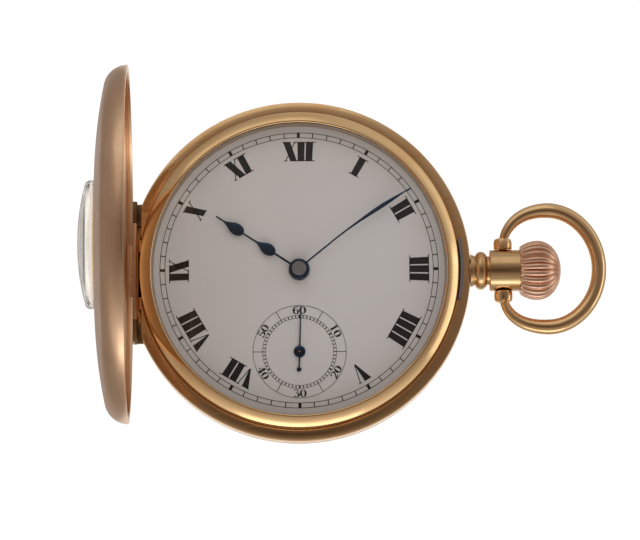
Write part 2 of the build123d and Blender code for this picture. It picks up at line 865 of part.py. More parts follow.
with BuildPart() as barrel_bridge:
    rod(centre, bridge_low, bridge_high, bridge_radius)
    split_block(barrel_bridge_edge, keep_above=True)
    hole(barrel_place, bridge_low - overrun, bridge_high + overrun, barrel_arbor_radius + fit)
    hole(crown_wheel_place, bridge_low - overrun, bridge_high + overrun, contrate_radius + play)
    hole(cock_foot_place, bridge_low - overrun, bridge_high + overrun, cock_foot_radius - balance_rim_width / 2)
    for place in pillar_places:
        hole(place, bridge_low - overrun, bridge_high + overrun, screw_head_radius * screw_shank_share + bore_fit)
finish("barrel_bridge", barrel_bridge.part, 0xC9A45C)

with BuildPart() as train_bridge:
    rod(centre, bridge_low, bridge_high, bridge_radius)
    split_block(train_bridge_edge, keep_above=False)
    hole(balance_place, bridge_low - overrun, bridge_high + overrun, balance_radius + jewel_radius)
    hole(cock_foot_place, bridge_low - overrun, bridge_high + overrun, cock_foot_radius + balance_rim_width)
    block(-case_radius, -balance_radius, -seconds_drop / 2, case_radius, bridge_low - overrun,
          bridge_high + overrun, mode=Mode.SUBTRACT)
    for place in jewelled:
        hole(place, bridge_low - overrun, bridge_high + overrun, jewel_radius)
    for place in pillar_places:
        hole(place, bridge_low - overrun, bridge_high + overrun, screw_head_radius * screw_shank_share + bore_fit)
finish("train_bridge", train_bridge.part, 0xC9A45C)


def link(start, end, low, high, width, mode=Mode.ADD):
    """Flat bar with round ends from one place to another."""
    middle = ((start[0] + end[0]) / 2, (start[1] + end[1]) / 2, 0)
    with BuildSketch(Plane.XY.offset(low)) as outline:
        with Locations(Location(middle, (0, 0, direction_to(start, end)))):
            SlotCenterToCenter(hypot(end[0] - start[0], end[1] - start[1]), width)
    extrude(outline.sketch, amount=high - low, mode=mode)


def screw_head(place, low, head_radius, head_height):
    """Slotted screw head, its slot on the low side, added to the open part."""
    rod(place, low, low + head_height, head_radius)
    slot = head_radius * screw_slot_share
    block(place[0] - slot, place[0] + slot, place[1] - head_radius - overrun, place[1] + head_radius + overrun,
          low - overrun, low + head_height / 2, mode=Mode.SUBTRACT)


def spiral(place, low, high, start_radius, pitch, half_turns, strip):
    """Flat wound spring of half circles, each wider than the one before, added to the open part."""
    with BuildSketch(Plane.XY.offset(low)) as outline:
        for turn in range(half_turns):
            radius = start_radius + pitch * turn / 2
            side = 1 if turn % 2 == 0 else -1
            middle = (place[0] + (pitch / 4 if side > 0 else -pitch / 4) - pitch / 4, place[1])
            with BuildLine():
                inner = CenterArc(middle, radius - strip / 2, 0 if side > 0 else 180, 180)
                outer = CenterArc(middle, radius + strip / 2, 0 if side > 0 else 180, 180)
                Line(inner @ 0, outer @ 0)
                Line(inner @ 1, outer @ 1)
            make_face()
    extrude(outline.sketch, amount=high - low)


# Screws and jewels, each kind one group of separate pieces
with BuildPart() as bridge_screws:
    for place in pillar_places:
        screw_head(place, bridge_low - screw_head_height, screw_head_radius, screw_head_height)
        rod(place, bridge_low, bridge_high, screw_head_radius * screw_shank_share)
finish("bridge_screws", bridge_screws.part, 0x35549A)

with BuildPart() as jewels:
    for place in jewelled:
        rod(place, bridge_high - jewel_thickness, bridge_high, jewel_radius)
    for place in jewelled[1:] + (pallet_place, balance_place):
        rod(place, plate_low, plate_low + jewel_thickness, jewel_radius)
    for place in jewelled + (pallet_place, balance_place):
        hole(place, bridge_low - overrun, plate_low + jewel_thickness + overrun, jewel_hole_radius)
finish("jewels", jewels.part, 0xB0305A)

# Going barrel, its cover, arbor and spring
barrel_phase = 0.0
with BuildPart() as barrel_drum:
    with BuildSketch(Plane.XY.offset(barrel_tooth_low)):
        with Locations(barrel_place):
            Polygon(*gear_points(barrel_teeth, barrel_module, barrel_phase), align=None)
    extrude(amount=2 * wheel_thickness)
    rod(barrel_place, barrel_low, barrel_high, drum_radius)
    hole(barrel_place, barrel_low - overrun, barrel_high - barrel_wall, drum_radius - barrel_wall)
    hole(barrel_place, barrel_low, barrel_high + overrun, barrel_arbor_radius + fit)
finish("barrel_drum", barrel_drum.part, 0xC9A45C)

cover_high = barrel_low + fit + wheel_thickness
with BuildPart() as barrel_cover:
    rod(barrel_place, barrel_low + fit, cover_high, drum_radius - barrel_wall)
    hole(barrel_place, barrel_low - overrun, barrel_high, barrel_arbor_radius + fit)
finish("barrel_cover", barrel_cover.part, 0xC9A45C)

with BuildPart() as mainspring:
    spiral(barrel_place, cover_high + fit, barrel_high - barrel_wall - fit, mainspring_start, mainspring_pitch,
           mainspring_half_turns, mainspring_strip)
finish("mainspring", mainspring.part, 0x7C8894)

with BuildPart() as barrel_arbor:
    rod(barrel_place, ratchet_low, barrel_high + fit, barrel_arbor_radius)
    rod(barrel_place, barrel_high, motion_floor - play, barrel_arbor_radius / 2)
finish("barrel_arbor", barrel_arbor.part, 0xB8B8BC)

# Winding wheels on the barrel bridge
crown_wheel_phase = 0.0
ratchet_phase = meshed_phase(
    crown_wheel_phase, crown_wheel_teeth, ratchet_teeth, direction_to(crown_wheel_place, barrel_place)
)
with BuildPart() as ratchet_wheel:
    with BuildSketch(Plane.XY.offset(ratchet_low)):
        with Locations(barrel_place):
            Polygon(*gear_points(ratchet_teeth, click_module, ratchet_phase), align=None)
            Circle(barrel_arbor_radius, mode=Mode.SUBTRACT)
    extrude(amount=ratchet_thickness)
finish("ratchet_wheel", ratchet_wheel.part, 0xB8B8BC)

with BuildPart() as ratchet_screw:
    screw_head(barrel_place, ratchet_low - screw_head_height, barrel_arbor_radius + screw_head_height,
               screw_head_height)
finish("ratchet_screw", ratchet_screw.part, 0x35549A)

contrate_root = contrate_tip - contrate_depth
with BuildPart() as crown_wheel:
    with BuildSketch(Plane.XY.offset(ratchet_low)):
        with Locations(crown_wheel_place):
            Polygon(*gear_points(crown_wheel_teeth, click_module, crown_wheel_phase), align=None)
    extrude(amount=ratchet_thickness)
    with BuildSketch(Plane.XY.offset(ratchet_low)):
        with Locations(crown_wheel_place):
            Circle(contrate_radius)
    extrude(amount=contrate_tip - ratchet_low)
    hole(crown_wheel_place, ratchet_low - overrun, contrate_tip + overrun, contrate_radius - contrate_width)
    with BuildSketch(Plane.XY.offset(contrate_root)):
        with Locations(crown_wheel_place):
            with PolarLocations(0.0, contrate_teeth):
                Rectangle(contrate_radius + overrun, contrate_slot_width, align=(Align.MIN, Align.CENTER))
    extrude(amount=contrate_depth + overrun, mode=Mode.SUBTRACT)
finish("crown_wheel", crown_wheel.part, 0xB8B8BC)

with BuildPart() as crown_wheel_seat:
    rod(crown_wheel_place, ratchet_low, bridge_high, contrate_radius - contrate_width - fit)
    rod(crown_wheel_place, ratchet_low - screw_head_height / 2, ratchet_low, contrate_radius)
finish("crown_wheel_seat", crown_wheel_seat.part, 0xB8B8BC)

click_place = polar(barrel_place, click_distance, click_bearing)
click_tip = polar(barrel_place, click_module * (ratchet_teeth / 2 + 1) + click_width / 2, click_tip_bearing)
with BuildPart() as click:
    with BuildSketch(Plane.XY.offset(ratchet_low)):
        with Locations(click_place):
            Circle(click_width)
    extrude(amount=bridge_low - fit - ratchet_low)
    link(click_place, click_tip, ratchet_low, bridge_low - fit, click_width)
finish("click", click.part, 0xB8B8BC)

# Going train
centre_pinion_phase = meshed_phase(
    barrel_phase, barrel_teeth, centre_leaves, direction_to(barrel_place, centre)
)
with BuildPart() as centre_wheel:
    cut_wheel(centre, centre_wheel_low, centre_teeth, centre_module, 0.0)
    leaves(centre, barrel_tooth_low, 2 * wheel_thickness, centre_leaves, barrel_module, centre_pinion_phase)
    rod(centre, bridge_high + end_shake, minute_hand_low + hand_thickness, centre_arbor_radius)
    rod(centre, bridge_high - pivot_length, bridge_high + end_shake, pivot_radius)
finish("centre_wheel", centre_wheel.part, 0xC9A45C)

third_pinion_phase = meshed_phase(0.0, centre_teeth, third_leaves, direction_to(centre, third_place))
with BuildPart() as third_wheel:
    cut_wheel(third_place, third_wheel_low, third_teeth, third_module, 0.0)
    leaves(third_place, centre_wheel_low - fit, 2 * wheel_thickness, third_leaves, centre_module,
           third_pinion_phase)
    pivoted_arbor(third_place)
finish("third_wheel", third_wheel.part, 0xC9A45C)

fourth_pinion_phase = meshed_phase(0.0, third_teeth, fourth_leaves, direction_to(third_place, fourth_place))
with BuildPart() as fourth_wheel:
    cut_wheel(fourth_place, fourth_wheel_low, fourth_teeth, fourth_module, 0.0)
    leaves(fourth_place, third_wheel_low - fit, 2 * wheel_thickness, fourth_leaves, third_module,
           fourth_pinion_phase)
    pivoted_arbor(fourth_place)
    rod(fourth_place, plate_low, seconds_hand_low + hand_thickness, pivot_radius)
finish("fourth_wheel", fourth_wheel.part, 0xC9A45C)

escape_pinion_phase = meshed_phase(0.0, fourth_teeth, escape_leaves, direction_to(fourth_place, escape_place))
pallet_half_span = 30.0
escape_step = 360.0 / escape_teeth
escape_phase = balance_bearing + pallet_half_span + escape_step / 4
with BuildPart() as escape_wheel:
    with BuildSketch(Plane.XY.offset(escape_wheel_low)):
        with Locations(escape_place):
            corners = []
            for tooth in range(escape_teeth):
                middle = escape_phase + tooth * escape_step
                corners.append(polar(centre, escape_root_radius, middle - escape_back_angle))
                corners.append(polar(centre, escape_radius, middle - escape_tip_angle))
                corners.append(polar(centre, escape_radius, middle + escape_tip_angle))
                corners.append(polar(centre, escape_root_radius, middle + 2 * escape_tip_angle))
            Polygon(*corners, align=None)
            Circle(escape_root_radius - escape_rim, mode=Mode.SUBTRACT)
            Circle(2 * arbor_radius)
            with PolarLocations(0.0, escape_spokes):
                Rectangle(escape_root_radius - escape_rim / 2, escape_rim, align=(Align.MIN, Align.CENTER))
    extrude(amount=escape_thickness)
    leaves(escape_place, fourth_wheel_low - fit, wheel_thickness + play, escape_leaves, fourth_module,
           escape_pinion_phase)
    pivoted_arbor(escape_place)
finish("escape_wheel", escape_wheel.part, 0xB8B8BC)

# Pallets: anchor with two stones and a lever whose mouth follows the roller pin's circle
with BuildPart() as pallet_fork:
    lever_end = polar(pallet_place, pallet_lever_length, balance_bearing)
    link(pallet_place, lever_end, fork_low, fork_low + fork_thickness, lever_width)
    for side in (-1, 1):
        stone_angle = balance_bearing + side * pallet_half_span
        stone_outer = polar(escape_place, escape_radius + 2 * stone_length / 3, stone_angle)
        link(pallet_place, stone_outer, fork_low, fork_low + fork_thickness, lever_width)
        stone_middle = polar(escape_place, escape_radius + stone_gap + stone_length / 2, stone_angle)
        with BuildSketch(Plane.XY.offset(fork_low)):
            with Locations(Location((stone_middle[0], stone_middle[1], 0), (0, 0, stone_angle))):
                Rectangle(stone_length, stone_width)
        extrude(amount=fork_thickness)
    hole(balance_place, fork_low - overrun, fork_low + overrun, roller_pin_offset + roller_pin_radius + mouth_gap)
    rod(pallet_place, pallet_cock_high + end_shake, plate_low - end_shake, arbor_radius)
    rod(pallet_place, bridge_high + end_shake, plate_low + pivot_length, pivot_radius)
finish("pallet_fork", pallet_fork.part, 0xB8B8BC)

pallet_foot = polar(pallet_place, pallet_foot_distance, balance_bearing + 90.0)
with BuildPart() as pallet_cock:
    link(pallet_place, pallet_foot, bridge_high, pallet_cock_high, 2 * pillar_radius)
    rod(pallet_foot, bridge_high, plate_low, pillar_radius)
    hole(pallet_place, bridge_high - overrun, pallet_cock_high + overrun, jewel_hole_radius)
finish("pallet_cock", pallet_cock.part, 0xC9A45C)

# Balance with its timing screws, staff and roller
with BuildPart() as balance_wheel:
    with BuildSketch(Plane.XY.offset(balance_low)):
        with Locations(balance_place):
            Circle(balance_radius)
            Circle(balance_radius - balance_rim_width, mode=Mode.SUBTRACT)
            Circle(balance_arm_width)
            with PolarLocations(0.0, balance_arms):
                Rectangle(balance_radius - balance_rim_width / 2, balance_arm_width,
                          align=(Align.MIN, Align.CENTER))
    extrude(amount=balance_thickness)
    for turn in range(timing_screws):
        angle = (turn + 0.5) * 360.0 / timing_screws
        start = polar(balance_place, balance_radius - balance_rim_width / 2, angle)
        height = balance_low + balance_thickness / 2
        face = Plane(origin=(start[0], start[1], height), z_dir=(cos(radians(angle)), sin(radians(angle)), 0))
        with BuildSketch(face):
            RegularPolygon(timing_screw_radius, 6)
        extrude(amount=balance_rim_width / 2 + timing_screw_radius)
    rod(balance_place, balance_low - fit, plate_low - end_shake, arbor_radius)
    rod(balance_place, cock_low + fit, plate_low + pivot_length, pivot_radius)
    rod(balance_place, hairspring_low, balance_low, collet_radius)
    rod(balance_place, roller_low, roller_low + roller_thickness, roller_radius)
    rod(polar(balance_place, roller_pin_offset, balance_bearing + 180.0), fork_low, roller_low, roller_pin_radius)
finish("balance_wheel", balance_wheel.part, 0xC9A45C)

cock_high = cock_low + cock_thickness
with BuildPart() as balance_cock:
    rod(balance_place, cock_low, cock_high, cock_head_radius)
    link(balance_place, cock_foot_place, cock_low, cock_high, 2 * pillar_radius)
    rod(cock_foot_place, cock_low, cock_high, cock_foot_radius)
    rod(cock_foot_place, cock_high, plate_low, cock_foot_radius - balance_rim_width)
    hole(balance_place, cock_low - overrun, cock_high + overrun, jewel_hole_radius)
finish("balance_cock", balance_cock.part, 0xC9A45C)

with BuildPart() as cock_screw:
    screw_head(cock_foot_place, cock_low - screw_head_height, screw_head_radius, screw_head_height)
finish("cock_screw", cock_screw.part, 0x35549A)

with BuildPart() as hairspring:
    spiral(balance_place, hairspring_low, hairspring_low + hairspring_height, hairspring_start,
           hairspring_pitch, hairspring_half_turns, hairspring_strip)
    stud_place = (balance_place[0] - hairspring_start - hairspring_pitch * hairspring_half_turns / 2
                  + hairspring_pitch / 2, balance_place[1])
    rod(stud_place, cock_high, hairspring_low + hairspring_height, 2 * hairspring_strip)
finish("hairspring", hairspring.part, 0x35549A)

with BuildPart() as regulator:
    rod(balance_place, cock_low - regulator_thickness, cock_low, cock_head_radius / 2)
    link(balance_place, polar(balance_place, regulator_length, direction_to(balance_place, centre)),
         cock_low - regulator_thickness, cock_low, 2 * arbor_radius)
    hole(balance_place, cock_low - overrun, cock_low + overrun, jewel_radius)
finish("regulator", regulator.part, 0xB8B8BC)

# Keyless work on the stem
with BuildPart() as winding_pinion:
    with BuildSketch(Plane.YZ.offset(winding_pinion_x - winding_pinion_length / 2)):
        with Locations((0.0, stem_height)):
            corners = []
            for leaf in range(winding_leaves):
                middle = leaf * 360.0 / winding_leaves - 90.0
                corners.append(polar(centre, winding_pinion_root, middle - 2 * winding_tip_angle))
                corners.append(polar(centre, winding_pinion_radius, middle - winding_tip_angle))
                corners.append(polar(centre, winding_pinion_radius, middle + winding_tip_angle))
                corners.append(polar(centre, winding_pinion_root, middle + 2 * winding_tip_angle))
            Polygon(*corners, align=None)
            Circle(stem_radius + fit, mode=Mode.SUBTRACT)
    extrude(amount=winding_pinion_length)
finish("winding_pinion", winding_pinion.part, 0xB8B8BC)

with BuildPart() as clutch_wheel:
    x_rod(clutch_start, clutch_start + clutch_length, clutch_radius)
    with BuildSketch(Plane.YZ.offset(clutch_start + clutch_length / 3)):
        with Locations((0.0, stem_height)):
            Circle(clutch_radius + overrun)
            Circle(clutch_radius * 2 / 3, mode=Mode.SUBTRACT)
    extrude(amount=clutch_length / 4, mode=Mode.SUBTRACT)
    x_hole(clutch_start - overrun, clutch_start + clutch_length + overrun, stem_radius + fit)
finish("clutch_wheel", clutch_wheel.part, 0xB8B8BC)

with BuildPart() as winding_stem:
    x_rod(stem_inner_end, stem_outer_end, stem_radius)
finish("winding_stem", winding_stem.part, 0xB8B8BC)

# Motion work under the dial
minute_phase = meshed_phase(0.0, cannon_leaves, minute_wheel_teeth, direction_to(centre, minute_wheel_place))
setting_phase = meshed_phase(
    minute_phase, minute_wheel_teeth, setting_wheel_teeth, direction_to(minute_wheel_place, setting_wheel_place)
)
hour_phase = meshed_phase(
    0.0, minute_pinion_leaves, hour_wheel_teeth, direction_to(minute_wheel_place, centre)
)
cannon_top = minute_hand_low + hand_thickness
with BuildPart() as cannon_pinion:
    rod(centre, minute_wheel_low, cannon_top, cannon_radius)
    rod(centre, cannon_top, cannon_top + hand_thickness, cannon_button_radius)
    leaves(centre, minute_wheel_low, wheel_thickness + fit, cannon_leaves, motion_module, 0.0)
    hole(centre, minute_wheel_low - overrun, cannon_top, centre_arbor_radius + bore_fit)
finish("cannon_pinion", cannon_pinion.part, 0xB8B8BC)

with BuildPart() as minute_wheel:
    cut_wheel(minute_wheel_place, minute_wheel_low, minute_wheel_teeth, motion_module, minute_phase,
              spokes=minute_spokes, hub_radius=minute_hub_radius, width=minute_spoke_width)
    leaves(minute_wheel_place, minute_wheel_low, hour_wheel_low + wheel_thickness - minute_wheel_low,
           minute_pinion_leaves, motion_module, 0.0)
    hole(minute_wheel_place, motion_floor, plate_high, arbor_radius + bore_fit)
finish("minute_wheel", minute_wheel.part, 0xC9A45C)

with BuildPart() as hour_wheel:
    with BuildSketch(Plane.XY.offset(hour_wheel_low)):
        Polygon(*gear_points(hour_wheel_teeth, motion_module, hour_phase), align=None)
    extrude(amount=wheel_thickness)
    rod(centre, hour_wheel_low, hour_hand_low + hand_thickness + fit, hour_pipe_outer)
    hole(centre, hour_wheel_low - overrun, minute_hand_low, hour_pipe_inner)
finish("hour_wheel", hour_wheel.part, 0xC9A45C)

with BuildPart() as setting_wheel:
    with BuildSketch(Plane.XY.offset(minute_wheel_low)):
        with Locations(setting_wheel_place):
            Polygon(*gear_points(setting_wheel_teeth, motion_module, setting_phase), align=None)
            Circle(arbor_radius + bore_fit, mode=Mode.SUBTRACT)
    extrude(amount=wheel_thickness)
finish("setting_wheel", setting_wheel.part, 0xB8B8BC)

with BuildPart() as motion_studs:
    for place in (minute_wheel_place, setting_wheel_place):
        rod(place, motion_floor, hour_wheel_low + wheel_thickness, arbor_radius)
finish("motion_studs", motion_studs.part, 0xB8B8BC)

# Dial, flat, with a hole for the hour pipe and one for the seconds arbor
with BuildPart() as dial:
    rod(centre, dial_low, dial_high, dial_radius)
    hole(centre, dial_low - overrun, dial_high + overrun, dial_hole_radius)
    hole(fourth_place, dial_low - overrun, dial_high + overrun, arbor_radius)
finish("dial", dial.part, 0xF4F2EA)


def hand_blade(place, low, bearing, stations):
    """Flat blade through stations of distance and half width, added to the open part."""
    corners = list(stations) + [(reach, -half) for reach, half in reversed(stations) if half]
    with BuildSketch(Plane.XY.offset(low)) as outline:
        with Locations(Location((place[0], place[1], 0), (0, 0, bearing_angle(bearing)))):
            Polygon(*corners, align=None)
    extrude(outline.sketch, amount=hand_thickness)


def hand_hub(place, low, radius, bore):
    """Round boss of a hand with its bore, added to the open part."""
    with BuildSketch(Plane.XY.offset(low)) as outline:
        with Locations(place):
            Circle(radius)
    extrude(outline.sketch, amount=hand_thickness)
    hole(place, low - overrun, low + overrun, bore)


with BuildPart() as hour_hand:
    hand_blade(centre, hour_hand_low, hour_hand_bearing,
               ((0, hand_root_width), (hour_hand_length * hour_taper_share, hand_stem_width), (hour_hand_length, 0)))
    for swell_share in hour_swell_shares:
        swell_middle = hour_hand_length * swell_share
        swell_place = polar(centre, swell_middle, bearing_angle(hour_hand_bearing))
        rod(swell_place, hour_hand_low, hour_hand_low + hand_thickness, swell_radius)
        hand_blade(centre, hour_hand_low, hour_hand_bearing,
                   ((swell_middle, swell_radius), (swell_middle + swell_length - swell_radius, 0)))
    hand_hub(centre, hour_hand_low, hand_hub_radius, hour_pipe_outer)
finish("hour_hand", hour_hand.part, 0x1F2C57)

with BuildPart() as minute_hand:
    hand_blade(centre, minute_hand_low, minute_hand_bearing,
               ((0, hand_root_width), (minute_hand_length * minute_lance_share, lance_half_width),
                (minute_hand_length, 0)))
    hand_hub(centre, minute_hand_low, hand_hub_radius, cannon_radius)
finish("minute_hand", minute_hand.part, 0x1F2C57)

with BuildPart() as seconds_hand:
    hand_blade(fourth_place, seconds_hand_low, seconds_hand_bearing,
               ((-seconds_tail_length, hand_root_width / 2), (seconds_hand_length, 0)))
    tail = polar(fourth_place, -seconds_tail_length, bearing_angle(seconds_hand_bearing))
    rod(tail, seconds_hand_low, seconds_hand_low + hand_thickness, lance_half_width)
    hand_hub(fourth_place, seconds_hand_low, seconds_hub_radius, pivot_radius)
finish("seconds_hand", seconds_hand.part, 0x1F2C57)

os.makedirs("parts", exist_ok=True)
for name, part in pieces.items():
    export_step(part, f"parts/{name}.step")
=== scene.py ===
"""Half hunter pocket watch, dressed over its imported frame, with a plain studio stage.

Laid out as an add-on: property groups hold the sizes and colours, one operator makes each piece or
group of like pieces, and a panel lists them. Run as a script, it makes everything in order.

Half sections are lists of (radius, height) in millimetres. Properties, places and meshes are in
metres, in the frame's own axes: the dial faces +Z, twelve is at +Y and the crown at +X.
"""

import math

import bmesh
import bpy
from mathutils import Matrix, Vector


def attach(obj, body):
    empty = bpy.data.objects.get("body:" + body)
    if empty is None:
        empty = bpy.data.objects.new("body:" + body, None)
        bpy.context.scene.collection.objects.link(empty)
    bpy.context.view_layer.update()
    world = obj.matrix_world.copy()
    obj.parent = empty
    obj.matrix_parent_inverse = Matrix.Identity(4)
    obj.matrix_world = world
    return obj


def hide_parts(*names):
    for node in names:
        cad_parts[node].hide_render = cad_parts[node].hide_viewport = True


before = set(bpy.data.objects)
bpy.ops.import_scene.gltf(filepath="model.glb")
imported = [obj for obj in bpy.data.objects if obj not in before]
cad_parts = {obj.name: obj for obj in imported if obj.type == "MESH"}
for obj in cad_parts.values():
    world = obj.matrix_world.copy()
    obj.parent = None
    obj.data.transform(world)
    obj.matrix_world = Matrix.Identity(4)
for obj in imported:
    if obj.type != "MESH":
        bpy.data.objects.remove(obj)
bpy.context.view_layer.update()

MM = 0.001

bl_info = {
    "name": "Half Hunter Pocket Watch",
    "version": (1, 0, 0),
    "blender": (4, 5, 0),
    "location": "3D View > Sidebar > Watch",
    "description": "Dresses the frame of a half hunter pocket watch and sets up its studio",
    "category": "Object",
}


# Settings

def length(name, text, default):
    """A length property in metres, given in millimetres."""
    return bpy.props.FloatProperty(name=name, description=text, default=default * MM,
                                   unit="LENGTH", precision=5)


def colour(name, text, default):
    """A colour property, given as linear red, green and blue."""
    return bpy.props.FloatVectorProperty(name=name, description=text, default=default,
                                         subtype="COLOR", size=3, min=0.0, max=1.0)


class WatchSizes(bpy.types.PropertyGroup):
    """Sizes of the visible pieces, which follow the frame."""

    case_radius: length("Case radius", "Radius of the band and of both covers", 24.99)
    band_low: length("Band foot", "Height of the band's lower edge", 4.8)
    band_high: length("Bezel seat", "Height of the seat under the bezel", 9.0)
    ledge_high: length("Ledge height", "Height of the ledge that the lid's rim closes on", 8.55)
    bezel_radius: length("Bezel radius", "Radius of the bezel's foot", 23.2)
    bezel_crest: length("Bezel crest", "Height of the bezel's crest", 11.3)
    bezel_inner: length("Bezel opening", "Radius of the bezel's opening", 21.5)
    lid_rise: length("Lid rise", "Depth of the front lid from its rim to its flat", 4.5)
    cover_wall: length("Cover wall", "Thickness of the lid and back", 0.5)
    window_radius: length("Window radius", "Radius of the ring round the lid's window", 9.0)
    window_rise: length("Window rise", "Rise of the window's glass over the lid's flat", 2.55)
    hinge_x: length("Hinge place", "Place of the hinge pins along X", -24.0)
    front_pin: length("Front pin height", "Height of the front lid's hinge pin", 8.4)
    back_pin: length("Back pin height", "Height of the back covers' hinge pin", 5.4)
    lid_angle: bpy.props.FloatProperty(name="Lid angle", default=math.radians(88.5),
                                       description="How far the front lid stands open",
                                       subtype="ANGLE")
    stem_height: length("Stem height", "Height of the stem's axis", 6.8)
    bow_width: length("Bow half width", "Half width of the bow's middle line", 8.62)
    bow_end: length("Bow end", "Reach of the bow's middle line", 43.85)
    bow_skew: length("Bow skew", "How far use has bent the bow towards its upper foot", 0.25)
    bow_thick: length("Bow wire", "Radius of the bow's wire at its shoulders", 1.13)
    bow_thin: length("Bow wire at the feet", "Radius of the bow's wire at its feet", 0.6)
    crown_radius: length("Crown radius", "Largest radius of the crown", 4.36)
    crown_flutes: bpy.props.IntProperty(name="Flutes", description="Flutes round the crown",
                                        default=24)
    dial_radius: length("Dial radius", "Radius of the enamel dial", 21.7)
    dial_top: length("Dial height", "Height of the dial's face", 9.0)
    seconds_drop: length("Seconds drop", "From the dial's middle to the seconds arbor", 12.05)


class WatchColours(bpy.types.PropertyGroup):
    """Colours of the finishes."""

    gold: colour("Gold", "Polished yellow gold", (0.87, 0.585, 0.30))
    lid_gold: colour("Lid gold", "Softer gold of the worn lid", (0.84, 0.56, 0.355))
    rose_gold: colour("Rose gold", "Crown", (0.88, 0.58, 0.42))
    enamel: colour("Enamel", "White of the dial", (0.69, 0.695, 0.70))
    print_black: colour("Print", "Fired black of the numerals", (0.012, 0.011, 0.011))
    blued: colour("Blued steel", "Hands and screws", (0.03, 0.065, 0.125))
    steel: colour("Steel", "Springs, wheels and stem", (0.55, 0.56, 0.58))
    gilt: colour("Gilt brass", "Plates and wheels", (0.74, 0.56, 0.29))
    ruby: colour("Ruby", "Jewels", (0.62, 0.02, 0.10))
    floor: colour("Floor", "Pale tabletop", (0.32, 0.32, 0.32))


def sizes():
    """The sizes in use."""
    return bpy.context.scene.watch_sizes


def colours():
    """The colours in use."""
    return bpy.context.scene.watch_colours


# Shader helpers

def feed(node, **values):
    """Gives a node's inputs, named by their label, plain values or the sockets that drive them."""
    for key, value in values.items():
        socket = node.inputs[key.replace("_", " ")]
        if isinstance(value, bpy.types.NodeSocket):
            node.id_data.links.new(value, socket)
        else:
            socket.default_value = value


def add_node(tree, kind, **values):
    """A node with its settings and its inputs."""
    made = tree.nodes.new(kind)
    for key, value in values.items():
        if hasattr(made, key):
            setattr(made, key, value)
        else:
            feed(made, **{key: value})
    return made


def calculate(tree, operation, *terms):
    """The result of a math node over sockets and plain numbers."""
    made = add_node(tree, "ShaderNodeMath", operation=operation)
    for socket, term in zip(made.inputs, terms):
        if isinstance(term, bpy.types.NodeSocket):
            tree.links.new(term, socket)
        else:
            socket.default_value = term
    return made.outputs[0]


def object_place(tree):
    """The place on the piece, in the object's own coordinates."""
    return add_node(tree, "ShaderNodeTexCoord").outputs["Object"]


def noise(tree, place, scale, detail, roughness=0.5):
    """Cloudy noise over a place."""
    return add_node(tree, "ShaderNodeTexNoise", Vector=place, Scale=scale, Detail=detail,
                    Roughness=roughness).outputs["Fac"]


def ranged(tree, source, span, onto=(0.0, 1.0)):
    """One span of values stretched onto another, and held at its ends."""
    return add_node(tree, "ShaderNodeMapRange", Value=source, From_Min=span[0], From_Max=span[1],
                    To_Min=onto[0], To_Max=onto[1]).outputs["Result"]


def mixed(tree, factor, first, second):
    """A colour that runs from the first to the second as the factor rises."""
    return add_node(tree, "ShaderNodeMix", data_type="RGBA", Factor=factor, A=first,
                    B=second).outputs["Result"]


def bumped(tree, height, strength, distance):
    """Normals that a height bends, over a distance in millimetres."""
    return add_node(tree, "ShaderNodeBump", Strength=strength, Distance=distance * MM,
                    Height=height).outputs["Normal"]


def shaded(tint, shares=(1.0, 1.0, 1.0)):
    """An opaque colour: each part of a tint at its share."""
    return (*(part * share for part, share in zip(tint, shares)), 1.0)


# How warmth shifts red, green and blue, and the level below which it does
WARM_SHIFT = (0.4, -0.3, -0.6)
WARM_BELOW = 0.5


def ramp(tree, source, stops, warmth=0.0):
    """Grey levels at their places along a source, the darker ones a little warmer."""
    made = add_node(tree, "ShaderNodeValToRGB", Fac=source)
    elements = made.color_ramp.elements
    while len(elements) < len(stops):
        elements.new(0.5)
    for element, (place, level) in zip(elements, stops):
        element.position = place
    for element, (place, level) in zip(elements, stops):
        warm = warmth * max(0.0, 1.0 - level / WARM_BELOW)
        element.color = (*(level * (1.0 + shift * warm) for shift in WARM_SHIFT), 1.0)
    return made.outputs["Color"]


def group_with(name, inputs, outputs):
    """A new shader group with its number sockets, and its two end nodes."""
    tree = bpy.data.node_groups.new(name, "ShaderNodeTree")
    kind = "NodeSocketFloat"
    for label, value in inputs:
        tree.interface.new_socket(label, in_out="INPUT", socket_type=kind).default_value = value
    for label in outputs:
        tree.interface.new_socket(label, in_out="OUTPUT", socket_type=kind)
    return tree, tree.nodes.new("NodeGroupInput"), tree.nodes.new("NodeGroupOutput")


# Scratches run two ways: turn in radians and scale across them, then the scale along them, the
# span of the noise that counts as one, and what they add to the roughness and to the bump
SCRATCH_WAYS = ((0.6, 2600.0), (-0.9, 3400.0))
ALONG_SCRATCH = 90.0
SCRATCH_SPAN = (0.66, 0.76)
SCRATCH_ROUGHNESS = 0.25
SCRATCH_BUMP = 0.35
SMUDGE_SPAN = (0.35, 0.7)


